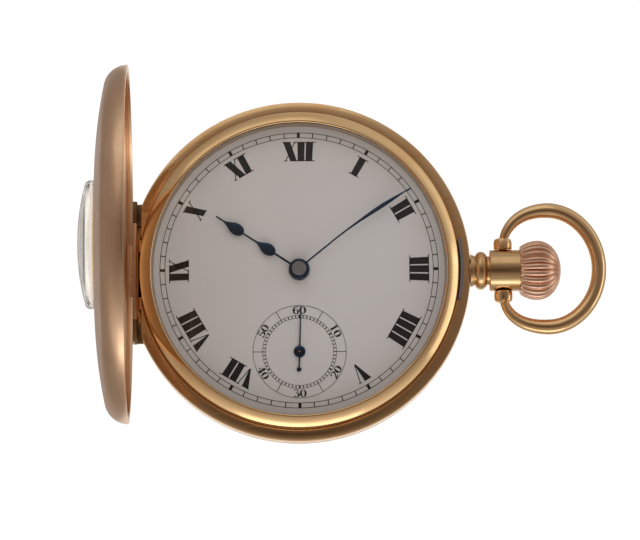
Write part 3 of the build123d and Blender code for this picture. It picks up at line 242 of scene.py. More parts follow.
def handling_wear():
    """Fine scratches, smudges and dull patches: roughness, bump height and a stain mask."""
    name = "Handling wear"
    if name in bpy.data.node_groups:
        return bpy.data.node_groups[name]
    tree, start, end = group_with(
        name, (("Scratches", 0.5), ("Base Roughness", 0.12), ("Spread", 0.08)),
        ("Roughness", "Height", "Stain"))
    place = object_place(tree)
    lines = []
    for turn, stretch in SCRATCH_WAYS:
        mapping = add_node(tree, "ShaderNodeMapping", Vector=place,
                           Rotation=(0.4 * turn, 0.7 * turn, turn),
                           Scale=(ALONG_SCRATCH, stretch, stretch))
        streaks = noise(tree, mapping.outputs["Vector"], 1.0, 2.0)
        lines.append(ranged(tree, streaks, SCRATCH_SPAN))
    marks = calculate(tree, "MULTIPLY", calculate(tree, "MAXIMUM", *lines),
                      start.outputs["Scratches"])
    stain = ranged(tree, noise(tree, place, 130.0, 4.0, 0.6), SMUDGE_SPAN)
    dull = calculate(tree, "MULTIPLY", stain, start.outputs["Spread"])
    smudged = calculate(tree, "ADD", start.outputs["Base Roughness"], dull)
    scratched = calculate(tree, "MULTIPLY", marks, SCRATCH_ROUGHNESS)
    feed(end, Roughness=calculate(tree, "ADD", smudged, scratched),
         Height=calculate(tree, "MULTIPLY", marks, -1.0), Stain=stain)
    return tree


# Finishes

# Metals: the colour they take, their share of it, the shares of that in their stains, roughness
# and its spread in smudges, strength of the scratches and their depth in millimetres
METALS = {
    "Polished gold": dict(tint="gold", stain=(0.93, 0.84, 0.76), roughness=0.13, spread=0.07,
                          scratches=0.6),
    # The pendant's gold is brought down to 0.84 of the gold as painted shade, darker than the
    # bezel; its stains and scratches are wear
    "Worn pendant gold": dict(tint="gold", share=0.84, stain=(0.90, 0.80, 0.72), roughness=0.15,
                              spread=0.08, scratches=0.9),
    "Worn band gold": dict(tint="gold", stain=(0.90, 0.78, 0.68), roughness=0.13, spread=0.1,
                           scratches=1.0, depth=0.006),
    # The hinge's gold is brought down to 0.42 of the gold as painted shade for the gaps between
    # its knuckles, pins and webs
    "Dull hinge gold": dict(tint="gold", share=0.42, stain=(0.5, 0.5, 0.5), roughness=0.38,
                            spread=0.1, scratches=0.8),
    "Worn lid gold": dict(tint="lid_gold", stain=(0.92, 0.86, 0.80), roughness=0.26,
                          spread=0.08, scratches=0.8),
    "Rose gold": dict(tint="rose_gold", stain=(0.86, 0.76, 0.68), roughness=0.24, spread=0.10,
                      scratches=0.7),
    "Polished steel": dict(tint="steel", stain=(0.82, 0.82, 0.82), roughness=0.2, spread=0.1,
                           scratches=0.8),
    "Blued steel": dict(tint="blued", stain=(0.8, 0.7, 0.62), roughness=0.26, spread=0.08,
                        scratches=0.2),
}


def worn_metal(tree, shader, tint, stain, roughness, spread, scratches, share=1.0, depth=0.004):
    """Metal with scratches and smudges from the shared group, at its own strengths."""
    # A share below one darkens the whole metal as painted shade
    clean = shaded(getattr(colours(), tint), (share, share, share))
    wear = add_node(tree, "ShaderNodeGroup", node_tree=handling_wear(), Scratches=scratches,
                    Base_Roughness=roughness, Spread=spread)
    feed(shader, Base_Color=mixed(tree, wear.outputs["Stain"], clean, shaded(clean, stain)),
         Roughness=wear.outputs["Roughness"],
         Normal=bumped(tree, wear.outputs["Height"], SCRATCH_BUMP, depth), Metallic=1.0)


def gilt_brass(tree, shader):
    """Gilt plate with a fine frosted grain."""
    tint = colours().gilt
    place = object_place(tree)
    grain = noise(tree, place, 9000.0, 2.0, 0.6)
    cloud = noise(tree, place, 160.0, 3.0, 0.55)
    feed(shader, Base_Color=mixed(tree, cloud, shaded(tint), shaded(tint, (0.86, 0.78, 0.66))),
         Roughness=ranged(tree, grain, (0.3, 0.7), (0.3, 0.42)),
         Normal=bumped(tree, grain, 0.25, 0.01), Metallic=1.0)


def white_enamel(tree, shader):
    """Fired enamel: nearly even white with faint clouding, a few dark specks and a glassy coat."""
    tint = colours().enamel
    place = object_place(tree)
    cloud = noise(tree, place, 90.0, 3.0)
    white = mixed(tree, cloud, shaded(tint), shaded(tint, (0.965, 0.95, 0.94)))
    cells = add_node(tree, "ShaderNodeTexVoronoi", Vector=place, Scale=260.0, Randomness=1.0)
    spot = ranged(tree, cells.outputs["Distance"], (0.015, 0.03), (1.0, 0.0))
    rare = ranged(tree, noise(tree, place, 300.0, 0.0), (0.56, 0.6), (0.0, 0.75))
    speck = calculate(tree, "MULTIPLY", spot, rare)
    feed(shader, Base_Color=mixed(tree, speck, white, (0.16, 0.13, 0.11, 1.0)),
         Normal=bumped(tree, cloud, 0.08, 0.02), Roughness=0.16, Coat_Weight=0.5,
         Coat_Roughness=0.06)


def fired_print(tree, shader):
    """Fired paint of the numerals, a little uneven in its density."""
    tint = colours().print_black
    thin = shaded([part * 1.3 + 0.004 for part in tint])
    cloud = noise(tree, object_place(tree), 1800.0, 3.0, 0.6)
    feed(shader, Base_Color=mixed(tree, cloud, shaded(tint), thin),
         Roughness=ranged(tree, cloud, (0.0, 1.0), (0.35, 0.55)), Specular_IOR_Level=0.15)


def clear_glass(tree, shader):
    """Clear glass that lets light through to what lies under it."""
    film = noise(tree, object_place(tree), 140.0, 4.0, 0.6)
    feed(shader, Base_Color=(0.985, 0.995, 0.99, 1.0), Transmission_Weight=1.0, IOR=1.38,
         Roughness=ranged(tree, film, (0.45, 0.8), (0.0, 0.03)))
    path = add_node(tree, "ShaderNodeLightPath").outputs
    soft = calculate(tree, "MAXIMUM", path["Is Shadow Ray"], path["Is Diffuse Ray"])
    clear = add_node(tree, "ShaderNodeBsdfTransparent")
    mix = add_node(tree, "ShaderNodeMixShader", Fac=soft)
    tree.links.new(shader.outputs["BSDF"], mix.inputs[1])
    tree.links.new(clear.outputs["BSDF"], mix.inputs[2])
    feed(tree.nodes["Material Output"], Surface=mix.outputs["Shader"])


def cloudy_glass(tree, shader):
    """Thick old glass of the lid's window, a little dulled by wear."""
    cloud = noise(tree, object_place(tree), 120.0, 3.0, 0.6)
    feed(shader, Transmission_Weight=0.95, IOR=1.15,
         Base_Color=mixed(tree, cloud, (1.0, 0.975, 0.93, 1.0), (0.97, 0.935, 0.87, 1.0)),
         Roughness=ranged(tree, cloud, (0.0, 1.0), (0.12, 0.2)))


def ruby_stone(tree, shader):
    """Polished red stone, uneven in its depth of colour."""
    tint = colours().ruby
    cloud = noise(tree, object_place(tree), 900.0, 2.0)
    feed(shader, Base_Color=mixed(tree, cloud, shaded(tint), shaded(tint, (0.6, 1.0, 0.7))),
         Roughness=0.05, IOR=1.77, Coat_Weight=0.6)


# How strongly polished metal sees the floor, by the slant at which it does, and how far the
# floor fades for it on the lid's side, as painted shade in the lid's reflections
FLOOR_IN_METAL = ((0.0, 0.8), (0.08, 0.78), (0.2, 0.35), (0.3, 0.16), (0.5, 0.15), (0.75, 0.2),
                  (1.0, 0.34))
LID_SIDE_SHADE = ((-0.032, -0.027), (0.3, 1.0))
FLOOR_GLOW = 0.88


def pale_floor(tree, shader):
    """Tabletop with shadows that the camera and glass see as white, and metal more faintly."""
    tint = colours().floor
    place = object_place(tree)
    cloud = noise(tree, place, 20.0, 2.0)
    feed(shader, Roughness=0.8,
         Base_Color=mixed(tree, cloud, shaded(tint), shaded(tint, (0.99, 0.99, 0.99))))
    path = add_node(tree, "ShaderNodeLightPath").outputs
    slant = add_node(tree, "ShaderNodeLayerWeight", Blend=0.5).outputs["Facing"]
    across = add_node(tree, "ShaderNodeSeparateXYZ", Vector=place).outputs["X"]
    # On the lid's side the floor's glow for metal fades: painted shade seen in the lid
    faint = calculate(tree, "MULTIPLY", ranged(tree, across, *LID_SIDE_SHADE),
                      ramp(tree, slant, FLOOR_IN_METAL))
    mirrored = calculate(tree, "MULTIPLY", path["Is Glossy Ray"], faint)
    seen = calculate(tree, "MAXIMUM", path["Is Camera Ray"], path["Is Transmission Ray"])
    direct = calculate(tree, "MULTIPLY", seen, FLOOR_GLOW)
    glow = add_node(tree, "ShaderNodeEmission",
                    Strength=calculate(tree, "MAXIMUM", direct, mirrored))
    lit = add_node(tree, "ShaderNodeAddShader")
    tree.links.new(shader.outputs["BSDF"], lit.inputs[0])
    tree.links.new(glow.outputs["Emission"], lit.inputs[1])
    feed(tree.nodes["Material Output"], Surface=lit.outputs["Shader"])


OTHER_FINISHES = {
    "Gilt brass": gilt_brass, "White enamel": white_enamel, "Dial print": fired_print,
    "Crystal": clear_glass, "Window glass": cloudy_glass, "Ruby": ruby_stone,
    "Pale floor": pale_floor,
}


def finish(name):
    """The material of that name, built the first time that a piece asks for it."""
    if name not in bpy.data.materials:
        material = bpy.data.materials.new(name)
        material.use_nodes = True
        tree = material.node_tree
        shader = tree.nodes["Principled BSDF"]
        if name in METALS:
            worn_metal(tree, shader, **METALS[name])
        else:
            OTHER_FINISHES[name](tree, shader)
    return bpy.data.materials[name]


# Shaping helpers

# Distances in metres within which corners are merged, and within which one lies on a cut
WELD = 1e-7
ON_CUT = 1e-6

# Steps round the turned pieces, from the widest to the thinnest
CASE_STEPS = 240
DISC_STEPS = 192
TUBE_STEPS = 96
HUB_STEPS = 64
PEG_STEPS = 24

# Angles in degrees past which an edge is rounded, and the case's rounding in millimetres
SHARP = 24.0
CASE_SHARP = 40.0
CASE_ROUNDING = 0.05

# Turn a piece that is drawn along Z onto another axis
ALONG = {
    "X": Matrix(((0, 0, 1, 0), (0, 1, 0, 0), (-1, 0, 0, 0), (0, 0, 0, 1))),
    "Y": Matrix(((1, 0, 0, 0), (0, 0, 1, 0), (0, -1, 0, 0), (0, 0, 0, 1))),
}


def placed(mesh, matrix):
    """A mesh put through a matrix."""
    bmesh.ops.transform(mesh, matrix=matrix, verts=mesh.verts)
    return mesh


def moved(mesh, offset):
    """A mesh moved by an offset in metres."""
    bmesh.ops.translate(mesh, vec=Vector(offset), verts=mesh.verts)
    return mesh


def to_other_side(mesh):
    """A mesh turned half round about Z."""
    bmesh.ops.rotate(mesh, cent=(0, 0, 0), matrix=Matrix.Rotation(math.pi, 3, "Z"),
                     verts=mesh.verts)
    return mesh


def ease(mesh, edges, radius):
    """Rounds edges to a radius in millimetres."""
    bmesh.ops.bevel(mesh, geom=edges, offset=radius * MM, offset_type="OFFSET", affect="EDGES",
                    segments=2, profile=0.5, material=-1, clamp_overlap=True)


def ease_sharp(mesh, radius, sharp=SHARP):
    """Rounds every edge whose faces meet at more than the sharp angle, in degrees."""
    limit = math.radians(sharp)
    hard = [edge for edge in mesh.edges
            if len(edge.link_faces) == 2 and edge.calc_face_angle() > limit]
    if hard:
        ease(mesh, hard, radius)


def lathe(points, steps, axis="Z", closed=True, rounding=0.0, sharp=SHARP):
    """A mesh turned from a half section."""
    mesh = bmesh.new()
    corners = [mesh.verts.new((radius * MM, 0.0, height * MM)) for radius, height in points]
    edges = [mesh.edges.new(pair) for pair in zip(corners, corners[1:])]
    if closed:
        edges.append(mesh.edges.new((corners[-1], corners[0])))
    bmesh.ops.spin(mesh, geom=corners + edges, cent=(0, 0, 0), axis=(0, 0, 1), angle=math.tau,
                   steps=steps, use_merge=True)
    bmesh.ops.remove_doubles(mesh, verts=mesh.verts, dist=WELD)
    for edge in [edge for edge in mesh.edges if not edge.link_faces]:
        mesh.edges.remove(edge)
    bmesh.ops.recalc_face_normals(mesh, faces=mesh.faces)
    if rounding:
        ease_sharp(mesh, rounding, sharp)
    if axis in ALONG:
        placed(mesh, ALONG[axis])
    return mesh


def peg(radius, near, far, rounding=CASE_ROUNDING):
    """A round peg along Y from near to far, in millimetres: a hinge knuckle or a pin."""
    section = [(0.0, near), (radius, near), (radius, far), (0.0, far)]
    return lathe(section, PEG_STEPS, closed=False, rounding=rounding, axis="Y")


def block(low, high, rounding=CASE_ROUNDING):
    """A straight block between two corners in metres, its edges rounded."""
    mesh = bmesh.new()
    bmesh.ops.create_cube(mesh, size=1.0)
    low, high = Vector(low), Vector(high)
    bmesh.ops.scale(mesh, vec=high - low, verts=mesh.verts)
    moved(mesh, (low + high) / 2)
    ease_sharp(mesh, rounding)
    return mesh


def join(*meshes):
    """One mesh out of several."""
    whole = bmesh.new()
    for part in meshes:
        data = bpy.data.meshes.new("part")
        part.to_mesh(data)
        part.free()
        whole.from_mesh(data)
        bpy.data.meshes.remove(data)
    return whole


def arc(start, end, sag, count):
    """Points from start to end along an arc that stands sag to the left of the chord."""
    first, last = Vector(start), Vector(end)
    chord = last - first
    middle = (first + last) / 2
    left = Vector((-chord.y, chord.x)).normalized()
    half = chord.length / 2
    radius = (half * half + sag * sag) / (2 * abs(sag))
    centre = middle + left * (sag - math.copysign(radius, sag))
    begin = math.atan2(first.y - centre.y, first.x - centre.x)
    finish_at = math.atan2(last.y - centre.y, last.x - centre.x)
    turn = (finish_at - begin + math.pi) % math.tau - math.pi
    return [
        (centre.x + radius * math.cos(begin + turn * step / count),
         centre.y + radius * math.sin(begin + turn * step / count))
        for step in range(count + 1)
    ]


def finish_piece(name, mesh, material, body, hides=(), crease=34.0):
    """Makes the object of one finished piece and ties it to the frame."""
    data = bpy.data.meshes.new(name)
    for face in mesh.faces:
        face.smooth = True
    mesh.to_mesh(data)
    mesh.free()
    data.set_sharp_from_angle(angle=math.radians(crease))
    data.materials.append(finish(material))
    piece = bpy.data.objects.new(name, data)
    bpy.context.scene.collection.objects.link(piece)
    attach(piece, body)
    if hides:
        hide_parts(*hides)


def dress(material, *nodes):
    """Gives frame nodes a finish."""
    for name in nodes:
        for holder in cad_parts[name].material_slots:
            holder.link = "OBJECT"
            holder.material = finish(material)


# Case

# Play between the bezel and its seat, and between the covers and the band
SEAT_GAP = 0.05

# The covers: radius of their flat, how far its slope and their side bulge, and the inner rim
FLAT_RADIUS = 11.0
SLOPE_SAG = 0.29
SIDE_SAG = 0.62
SIDE_SAG_INSIDE = 0.42
RIM_STEP = 0.75
RIM_INNER = 24.0


def cover_section(radius, rise, wall, shoulder=(22.5, 1.7)):
    """Half section of a domed cover, its flat at height zero and its rim up."""
    flat, inside = FLAT_RADIUS, radius - wall
    bend = (shoulder[0] - 0.15, shoulder[1] + wall)
    outer = [(0.0, 0.0), (flat, 0.0)]
    outer += arc((flat, 0.0), shoulder, -SLOPE_SAG, 10)[1:]
    outer += arc(shoulder, (radius, rise), -SIDE_SAG, 12)[1:]
    inner = [(RIM_INNER, rise), (RIM_INNER, rise - RIM_STEP),
             (inside - 0.05, rise - RIM_STEP - 0.02)]
    inner += arc((inside - 0.12, rise - RIM_STEP - 0.2), bend, SIDE_SAG_INSIDE, 8)
    inner += arc(bend, (flat, wall), SLOPE_SAG, 8)[1:]
    return outer + inner + [(0.0, wall)]


# The hinge at nine o'clock, in millimetres: half the length of the recess in the band, how far
# out its flat lies, the knuckles, and where the webs that carry them end. The lid's web is
# given from the pin at its inner end and its foot.
RECESS_HALF = 10.35
RECESS_PLANE = 23.0
KNUCKLE_RADIUS = 0.42
CASE_KNUCKLE = (7.22, 10.3)
LID_KNUCKLE_HALF = 7.1
BACK_KNUCKLE_RADIUS = 0.5
BACK_KNUCKLE_HALF = 3.3
CASE_WEB_INNER = -22.4
CASE_WEB_TOP = 6.2
UPPER_WEB_FOOT = 5.9
LID_WEB_INNER = 0.3
LID_WEB_FOOT = 0.1
LID_WEB_TOP = 9.5
BACK_WEB_FOOT = 4.38

# The stem's passage through the band: half its width, and where the search for the wall starts
STEM_BORE = 1.03
INSIDE_BAND = 20.0


def bored(mesh, half, height, start):
    """Opens a square passage along X through the wall that stands beyond start."""
    for axis, place in ((1, -half), (1, half), (2, height - half), (2, height + half)):
        near = []
        for face in mesh.faces:
            centre = face.calc_center_median()
            if centre.x > start and abs(centre.y) < 3 * half:
                near.append(face)
        edges = dict.fromkeys(edge for face in near for edge in face.edges)
        verts = dict.fromkeys(vert for face in near for vert in face.verts)
        point, normal = Vector(), Vector()
        point[axis], normal[axis] = place, 1.0
        bmesh.ops.bisect_plane(mesh, geom=[*verts, *edges, *near], plane_co=point,
                               plane_no=normal, dist=WELD)
    inside = []
    for face in mesh.faces:
        centre = face.calc_center_median()
        if centre.x > start and abs(centre.y) < half and abs(centre.z - height) < half:
            inside.append(face)
    bmesh.ops.delete(mesh, geom=inside, context="FACES")
    bmesh.ops.bridge_loops(mesh, edges=[edge for edge in mesh.edges if edge.is_boundary])
    bmesh.ops.recalc_face_normals(mesh, faces=mesh.faces[:])


def recessed(mesh, half, plane):
    """Flattens the wall at nine o'clock down to a plane, between two cuts across it."""
    for cut in (-half, half):
        geom = mesh.verts[:] + mesh.edges[:] + mesh.faces[:]
        bmesh.ops.bisect_plane(mesh, geom=geom, plane_co=(0, cut, 0), plane_no=(0, 1, 0),
                               dist=WELD)
    for vert in mesh.verts:
        if abs(vert.co.y) <= half - ON_CUT and vert.co.x < -plane:
            vert.co.x = -plane


class WATCH_OT_case_band(bpy.types.Operator):
    """Make the case band with its ledge, hinge recess and hinge knuckles"""

    bl_idname = "watch.case_band"
    bl_label = "Case band"

    def execute(self, context):
        s = sizes()
        radius, low, high = s.case_radius / MM, s.band_low / MM, s.ledge_high / MM
        seat, bore, bottom = s.band_high / MM, 21.4, 7.0
        mesh = lathe([
            (bore, low), (radius - 0.4, low), (radius - 0.12, low + 0.12), (radius, low + 0.4),
            (radius, high - 0.3), (radius - 0.1, high - 0.08), (radius - 0.25, high),
            (23.5, high), (23.4, high - 0.08), (23.38, high - 0.4), (23.02, high - 0.4),
            (23.02, seat), (22.0, seat), (22.0, bottom), (bore, bottom),
        ], CASE_STEPS, rounding=0.06, sharp=CASE_SHARP)
        bored(mesh, STEM_BORE * MM, s.stem_height, INSIDE_BAND * MM)
        recessed(mesh, RECESS_HALF * MM, RECESS_PLANE * MM)
        finish_piece("case_band", mesh, "Worn band gold", "case", hides=("case_middle",))
        self.knuckles(s)
        # The hinge pins take the hinge gold, darkened as painted shade
        dress("Dull hinge gold", "front_hinge_pin", "back_hinge_pin")
        return {"FINISHED"}

    def knuckles(self, s):
        """Makes the case's leaf of the hinge: its knuckles and the webs that carry them."""
        parts = []
        for height in (s.front_pin, s.back_pin):
            for side in (-1, 1):
                knuckle = peg(KNUCKLE_RADIUS, *CASE_KNUCKLE)
                if side < 0:
                    to_other_side(knuckle)
                parts.append(moved(knuckle, (s.hinge_x, 0, height)))
        outside = s.hinge_x - KNUCKLE_RADIUS * MM
        for side in (-1, 1):
            near, far = sorted(side * end * MM for end in CASE_KNUCKLE)
            parts.append(block((outside, near, s.back_pin),
                               (CASE_WEB_INNER * MM, far, CASE_WEB_TOP * MM)))
            parts.append(block((outside, near, UPPER_WEB_FOOT * MM),
                               (s.hinge_x, far, s.front_pin)))
        # Knuckles and webs take the hinge gold, darkened as painted shade so the gaps between them
        # look dark
        finish_piece("case_hinge_knuckles", join(*parts), "Dull hinge gold", "case")


class WATCH_OT_bezel(bpy.types.Operator):
    """Make the glass bezel and the crystal it holds"""

    bl_idname = "watch.bezel"
    bl_label = "Bezel and crystal"

    def execute(self, context):
        s = sizes()
        foot, crest, inner = s.bezel_radius / MM, s.bezel_crest / MM, s.bezel_inner / MM
        base, lip, groove, wall = s.band_high / MM + SEAT_GAP, 10.86, 21.93, foot - 0.08
        section = [(inner, lip), (groove, lip), (groove, base), (wall, base), (wall, crest - 1.2)]
        section += arc((foot, crest - 1.12), (21.78, crest - 0.1), -0.06, 18)
        section += [(21.66, crest - 0.09), (inner + 0.05, crest - 0.14), (inner, crest - 0.22)]
        mesh = lathe(section, CASE_STEPS, rounding=0.04, sharp=34.0)
        finish_piece("bezel", mesh, "Polished gold", "case", hides=("glass_bezel",))
        low, edge, rim = 9.9, 21.87, inner - 0.08
        under = arc((0.0, low + 1.8), (rim, low + 0.5), 0.33, 14)
        over = arc((rim, low + 1.0), (0.0, low + 2.3), -0.33, 14)
        section = under + [(edge, low + 0.5), (edge, low + 0.9), (rim, low + 0.92)] + over
        finish_piece("crystal_glass", lathe(section, DISC_STEPS), "Crystal", "case",
                     hides=("crystal",))
        return {"FINISHED"}


def swung_open(mesh):
    """Turns a closed lid's mesh about the front hinge pin to where it stands open."""
    s = sizes()
    pivot = Matrix.Translation((s.hinge_x, 0.0, s.front_pin))
    return placed(mesh, pivot @ Matrix.Rotation(-s.lid_angle, 4, "Y") @ pivot.inverted())


class WATCH_OT_front_lid(bpy.types.Operator):
    """Make the front lid with its knuckle, window ring and window glass"""

    bl_idname = "watch.front_lid"
    bl_label = "Front lid"

    def execute(self, context):
        s = sizes()
        rise, window = s.lid_rise / MM, s.window_radius / MM
        plane = s.ledge_high / MM + SEAT_GAP + rise
        opening = window - 0.5
        section = cover_section(s.case_radius / MM, rise, s.cover_wall / MM, (22.7, 1.35))
        section = [(max(radius, opening), plane - height) for radius, height in section]
        shell = lathe(section, CASE_STEPS, rounding=CASE_ROUNDING, sharp=CASE_SHARP)
        half = LID_KNUCKLE_HALF
        knuckle = moved(peg(KNUCKLE_RADIUS, -half, half), (s.hinge_x, 0, s.front_pin))
        web = block((s.hinge_x - KNUCKLE_RADIUS * MM, -half * MM,
                     s.front_pin + LID_WEB_FOOT * MM),
                    (s.hinge_x + LID_WEB_INNER * MM, half * MM, LID_WEB_TOP * MM), rounding=0.12)
        finish_piece("lid_shell", swung_open(join(shell, knuckle, web)), "Worn lid gold", "lid",
                     hides=("front_lid",))
        ring = lathe([(opening, plane - 0.5), (opening, plane + 0.2), (window - 0.3, plane + 0.25),
                      (window, plane + 0.12), (window, plane - 0.1)], 144, rounding=0.04)
        finish_piece("window_ring", swung_open(ring), "Polished gold", "lid",
                     hides=("lid_window_ring",))
        edge, shoulder, top = window - 0.06, plane + 1.15, plane + s.window_rise / MM
        bend = (edge - 0.75, shoulder + 0.4)
        section = [(edge - 0.55, plane + 0.27), (edge, plane + 0.27), (edge, plane + 0.8)]
        section += arc((edge, plane + 0.9), bend, -0.16, 6) + arc(bend, (0.0, top), -0.3, 16)[1:]
        section += arc((0.0, top - 0.6), (edge - 1.1, shoulder - 0.1), 0.24, 14)
        glass = lathe(section + [(edge - 0.6, plane + 0.6)], 128)
        finish_piece("window_glass", swung_open(glass), "Window glass", "lid",
                     hides=("lid_window_glass",))
        return {"FINISHED"}


class WATCH_OT_back_covers(bpy.types.Operator):
    """Make the back cover, and give the dust cover under it its finish"""

    bl_idname = "watch.back_covers"
    bl_label = "Back and dust cover"

    def execute(self, context):
        s = sizes()
        rise = s.band_low / MM - SEAT_GAP
        section = cover_section(s.case_radius / MM, rise, s.cover_wall / MM)
        shell = lathe(section, CASE_STEPS, rounding=CASE_ROUNDING, sharp=CASE_SHARP)
        reach, half = BACK_KNUCKLE_RADIUS * MM, BACK_KNUCKLE_HALF
        knuckle = peg(BACK_KNUCKLE_RADIUS, -half, half)
        moved(knuckle, (s.hinge_x, 0, s.back_pin))
        web = block((s.hinge_x - reach, -half * MM, BACK_WEB_FOOT * MM),
                    (s.hinge_x + reach, half * MM, s.back_pin))
        finish_piece("back_shell", join(shell, knuckle, web), "Polished gold", "back",
                     hides=("back_cover",))
        dress("Polished gold", "dust_cover")
        return {"FINISHED"}


# Pendant, bow and crown, drawn from the watch's middle outwards

BOW_PIN = 29.8


class WATCH_OT_pendant(bpy.types.Operator):
    """Make the pendant with its collar, tube and trunnions"""

    bl_idname = "watch.pendant"
    bl_label = "Pendant"

    def execute(self, context):
        bore, end = 1.1, 32.5
        section = [(bore, 24.7), (1.7, 24.7), (1.7, 25.02), (2.45, 25.04), (2.2, 25.6)]
        section += arc((2.15, 25.7), (2.15, 27.4), -0.66, 14)
        section += [(2.12, 27.75), (2.95, 27.8), (3.03, 27.9), (3.03, 32.4), (2.95, end),
                    (bore, end)]
        tube = lathe(section, TUBE_STEPS, axis="X", rounding=0.03, sharp=CASE_SHARP)
        pin = moved(peg(0.53, -4.1, 4.1, rounding=0.04), (BOW_PIN * MM, 0, 0))
        # The pendant's finish darkens its gold as painted shade
        finish_piece("pendant_tube", moved(join(tube, pin), (0, 0, sizes().stem_height)),
                     "Worn pendant gold", "case", hides=("pendant",))
        return {"FINISHED"}


class WATCH_OT_bow(bpy.types.Operator):
    """Make the bow, a tapered wire bent round and ending in two turned feet"""

    bl_idname = "watch.bow"
    bl_label = "Bow"

    def execute(self, context):
        s = sizes()
        feet = []
        for side in (1, -1):
            foot = lathe([(0.0, 3.08), (1.22, 3.08), (1.34, 3.2), (1.36, 4.1), (1.22, 4.55),
                          (0.7, 4.8), (0.0, 4.84)],
                         48, closed=False, axis="Y", rounding=0.03, sharp=50.0)
            if side < 0:
                to_other_side(foot)
            feet.append(moved(foot, (BOW_PIN * MM, 0, s.stem_height)))
        finish_piece("bow_wire", join(self.wire(s), *feet), "Polished gold", "bow",
                     hides=("bow",))
        return {"FINISHED"}

    def wire(self, s):
        """The wire, swept along a curve through stations of place, lead and wire radius."""
        foot_x, foot_y, shoulder_x = BOW_PIN * MM, 4.05 * MM, 36.3 * MM
        foot_lead, shoulder_lead, end_lead = (0.35 * MM, 2.4 * MM), 4.1 * MM, 4.65 * MM
        upper, lower = s.bow_width + s.bow_skew, s.bow_skew - s.bow_width
        stations = (
            ((foot_x, foot_y), foot_lead, s.bow_thin),
            ((shoulder_x, upper), (shoulder_lead, 0.0), s.bow_thick),
            ((s.bow_end, s.bow_skew), (0.0, -end_lead), s.bow_thick * 0.96),
            ((shoulder_x, lower), (-shoulder_lead, 0.0), s.bow_thick),
            ((foot_x, -foot_y), (-foot_lead[0], foot_lead[1]), s.bow_thin),
        )
        curve = bpy.data.curves.new("bow_route", "CURVE")
        curve.dimensions = "3D"
        curve.resolution_u = 24
        curve.bevel_depth = 1.0
        curve.bevel_resolution = 6
        curve.use_fill_caps = True
        spline = curve.splines.new("BEZIER")
        spline.bezier_points.add(len(stations) - 1)
        level = s.stem_height
        for point, (place, lead, radius) in zip(spline.bezier_points, stations):
            point.co = (place[0], place[1], level)
            point.handle_left = (place[0] - lead[0], place[1] - lead[1], level)
            point.handle_right = (place[0] + lead[0], place[1] + lead[1], level)
            point.radius = radius
        holder = bpy.data.objects.new("bow_route", curve)
        bpy.context.scene.collection.objects.link(holder)
        bpy.context.view_layer.update()
        swept = holder.evaluated_get(bpy.context.evaluated_depsgraph_get())
        data = bpy.data.meshes.new_from_object(swept)
        mesh = bmesh.new()
        mesh.from_mesh(data)
        bpy.data.objects.remove(holder)
        bpy.data.curves.remove(curve)
        bpy.data.meshes.remove(data)
        bmesh.ops.remove_doubles(mesh, verts=mesh.verts, dist=WELD)
        bmesh.ops.recalc_face_normals(mesh, faces=mesh.faces)
        return mesh


# The crown, in millimetres: radius of its foot, reach of its foot, of its widest place and of
# the bottom of its bore, and its half lengths on either side of the widest place
CROWN_FOOT_RADIUS = 3.13
CROWN_FOOT = 32.22
CROWN_WIDEST = 34.84
CROWN_BORE = 33.8
CROWN_INWARD = 4.35
CROWN_OUTWARD = 3.44
CROWN_ARC = (-0.64, 1.46)
CROWN_STATIONS = 33

# Its flutes: steps round each, depth, how that falls off towards the button, shape of the
# hollow, plain button round the axis, reach of the plain foot, and run-outs
FLUTE_STEPS = 12
FLUTE_DEPTH = 0.5
FLUTE_TAPER = 1.2
FLUTE_SHAPE = 0.55
BUTTON_RADIUS = 1.2
FLUTE_START = 32.24
FOOT_FADE = 0.5
BUTTON_FADE = 1.0


def fluted(mesh, radius, flutes):
    """Cuts flutes along a crown that stands on Z, and brings it to its radius."""
    biggest = max(Vector((vert.co.x, vert.co.y)).length for vert in mesh.verts)
    for vert in mesh.verts:
        across = Vector((vert.co.x, vert.co.y))
        reach = across.length
        past_foot = vert.co.z - FLUTE_START * MM
        past_button = reach - BUTTON_RADIUS * MM
        if past_button < 0.0 or past_foot < 0.0:
            continue
        wave = abs(math.cos(math.atan2(across.y, across.x) * flutes / 2))
        fade = (min(1.0, past_foot / (FOOT_FADE * MM))
                * min(1.0, past_button / (BUTTON_FADE * MM)))
        depth = FLUTE_DEPTH * MM * (reach / biggest) ** FLUTE_TAPER
        cut = depth * (1.0 - wave ** FLUTE_SHAPE) * fade
        share = (reach * (radius * MM / biggest) - cut) / reach
        vert.co.x *= share
        vert.co.y *= share


class WATCH_OT_crown(bpy.types.Operator):
    """Make the fluted winding crown"""

    bl_idname = "watch.crown"
    bl_label = "Crown"

    def execute(self, context):
        s = sizes()
        radius = s.crown_radius / MM
        first, last = CROWN_ARC
        outline = [(CROWN_FOOT_RADIUS, CROWN_FOOT)]
        for step in range(CROWN_STATIONS + 1):
            angle = first + (last - first) * step / CROWN_STATIONS
            half = CROWN_INWARD if angle < 0 else CROWN_OUTWARD
            outline.append((radius * math.cos(angle), CROWN_WIDEST + half * math.sin(angle)))
        outline.append((0.0, outline[-1][1] + 0.01))
        outside = lathe(outline, s.crown_flutes * FLUTE_STEPS, closed=False)
        fluted(outside, radius, s.crown_flutes)
        inside = lathe([(CROWN_FOOT_RADIUS, CROWN_FOOT), (CROWN_FOOT_RADIUS, CROWN_BORE),
                        (0.0, CROWN_BORE)], TUBE_STEPS, closed=False)
        whole = moved(placed(join(outside, inside), ALONG["X"]), (0, 0, s.stem_height))
        finish_piece("crown_knob", whole, "Rose gold", "crown", hides=("crown",),
                     crease=60.0)
        dress("Polished steel", "case_stem", "winding_stem", "lock_spring")
        return {"FINISHED"}


# Dial. Its print is drawn in millimetres as flat strokes that are laid on the enamel.

PRINT_LIFT = 0.012 * MM

# Degrees from one minute and from one hour to the next
PER_MINUTE = 6.0
PER_HOUR = 30.0

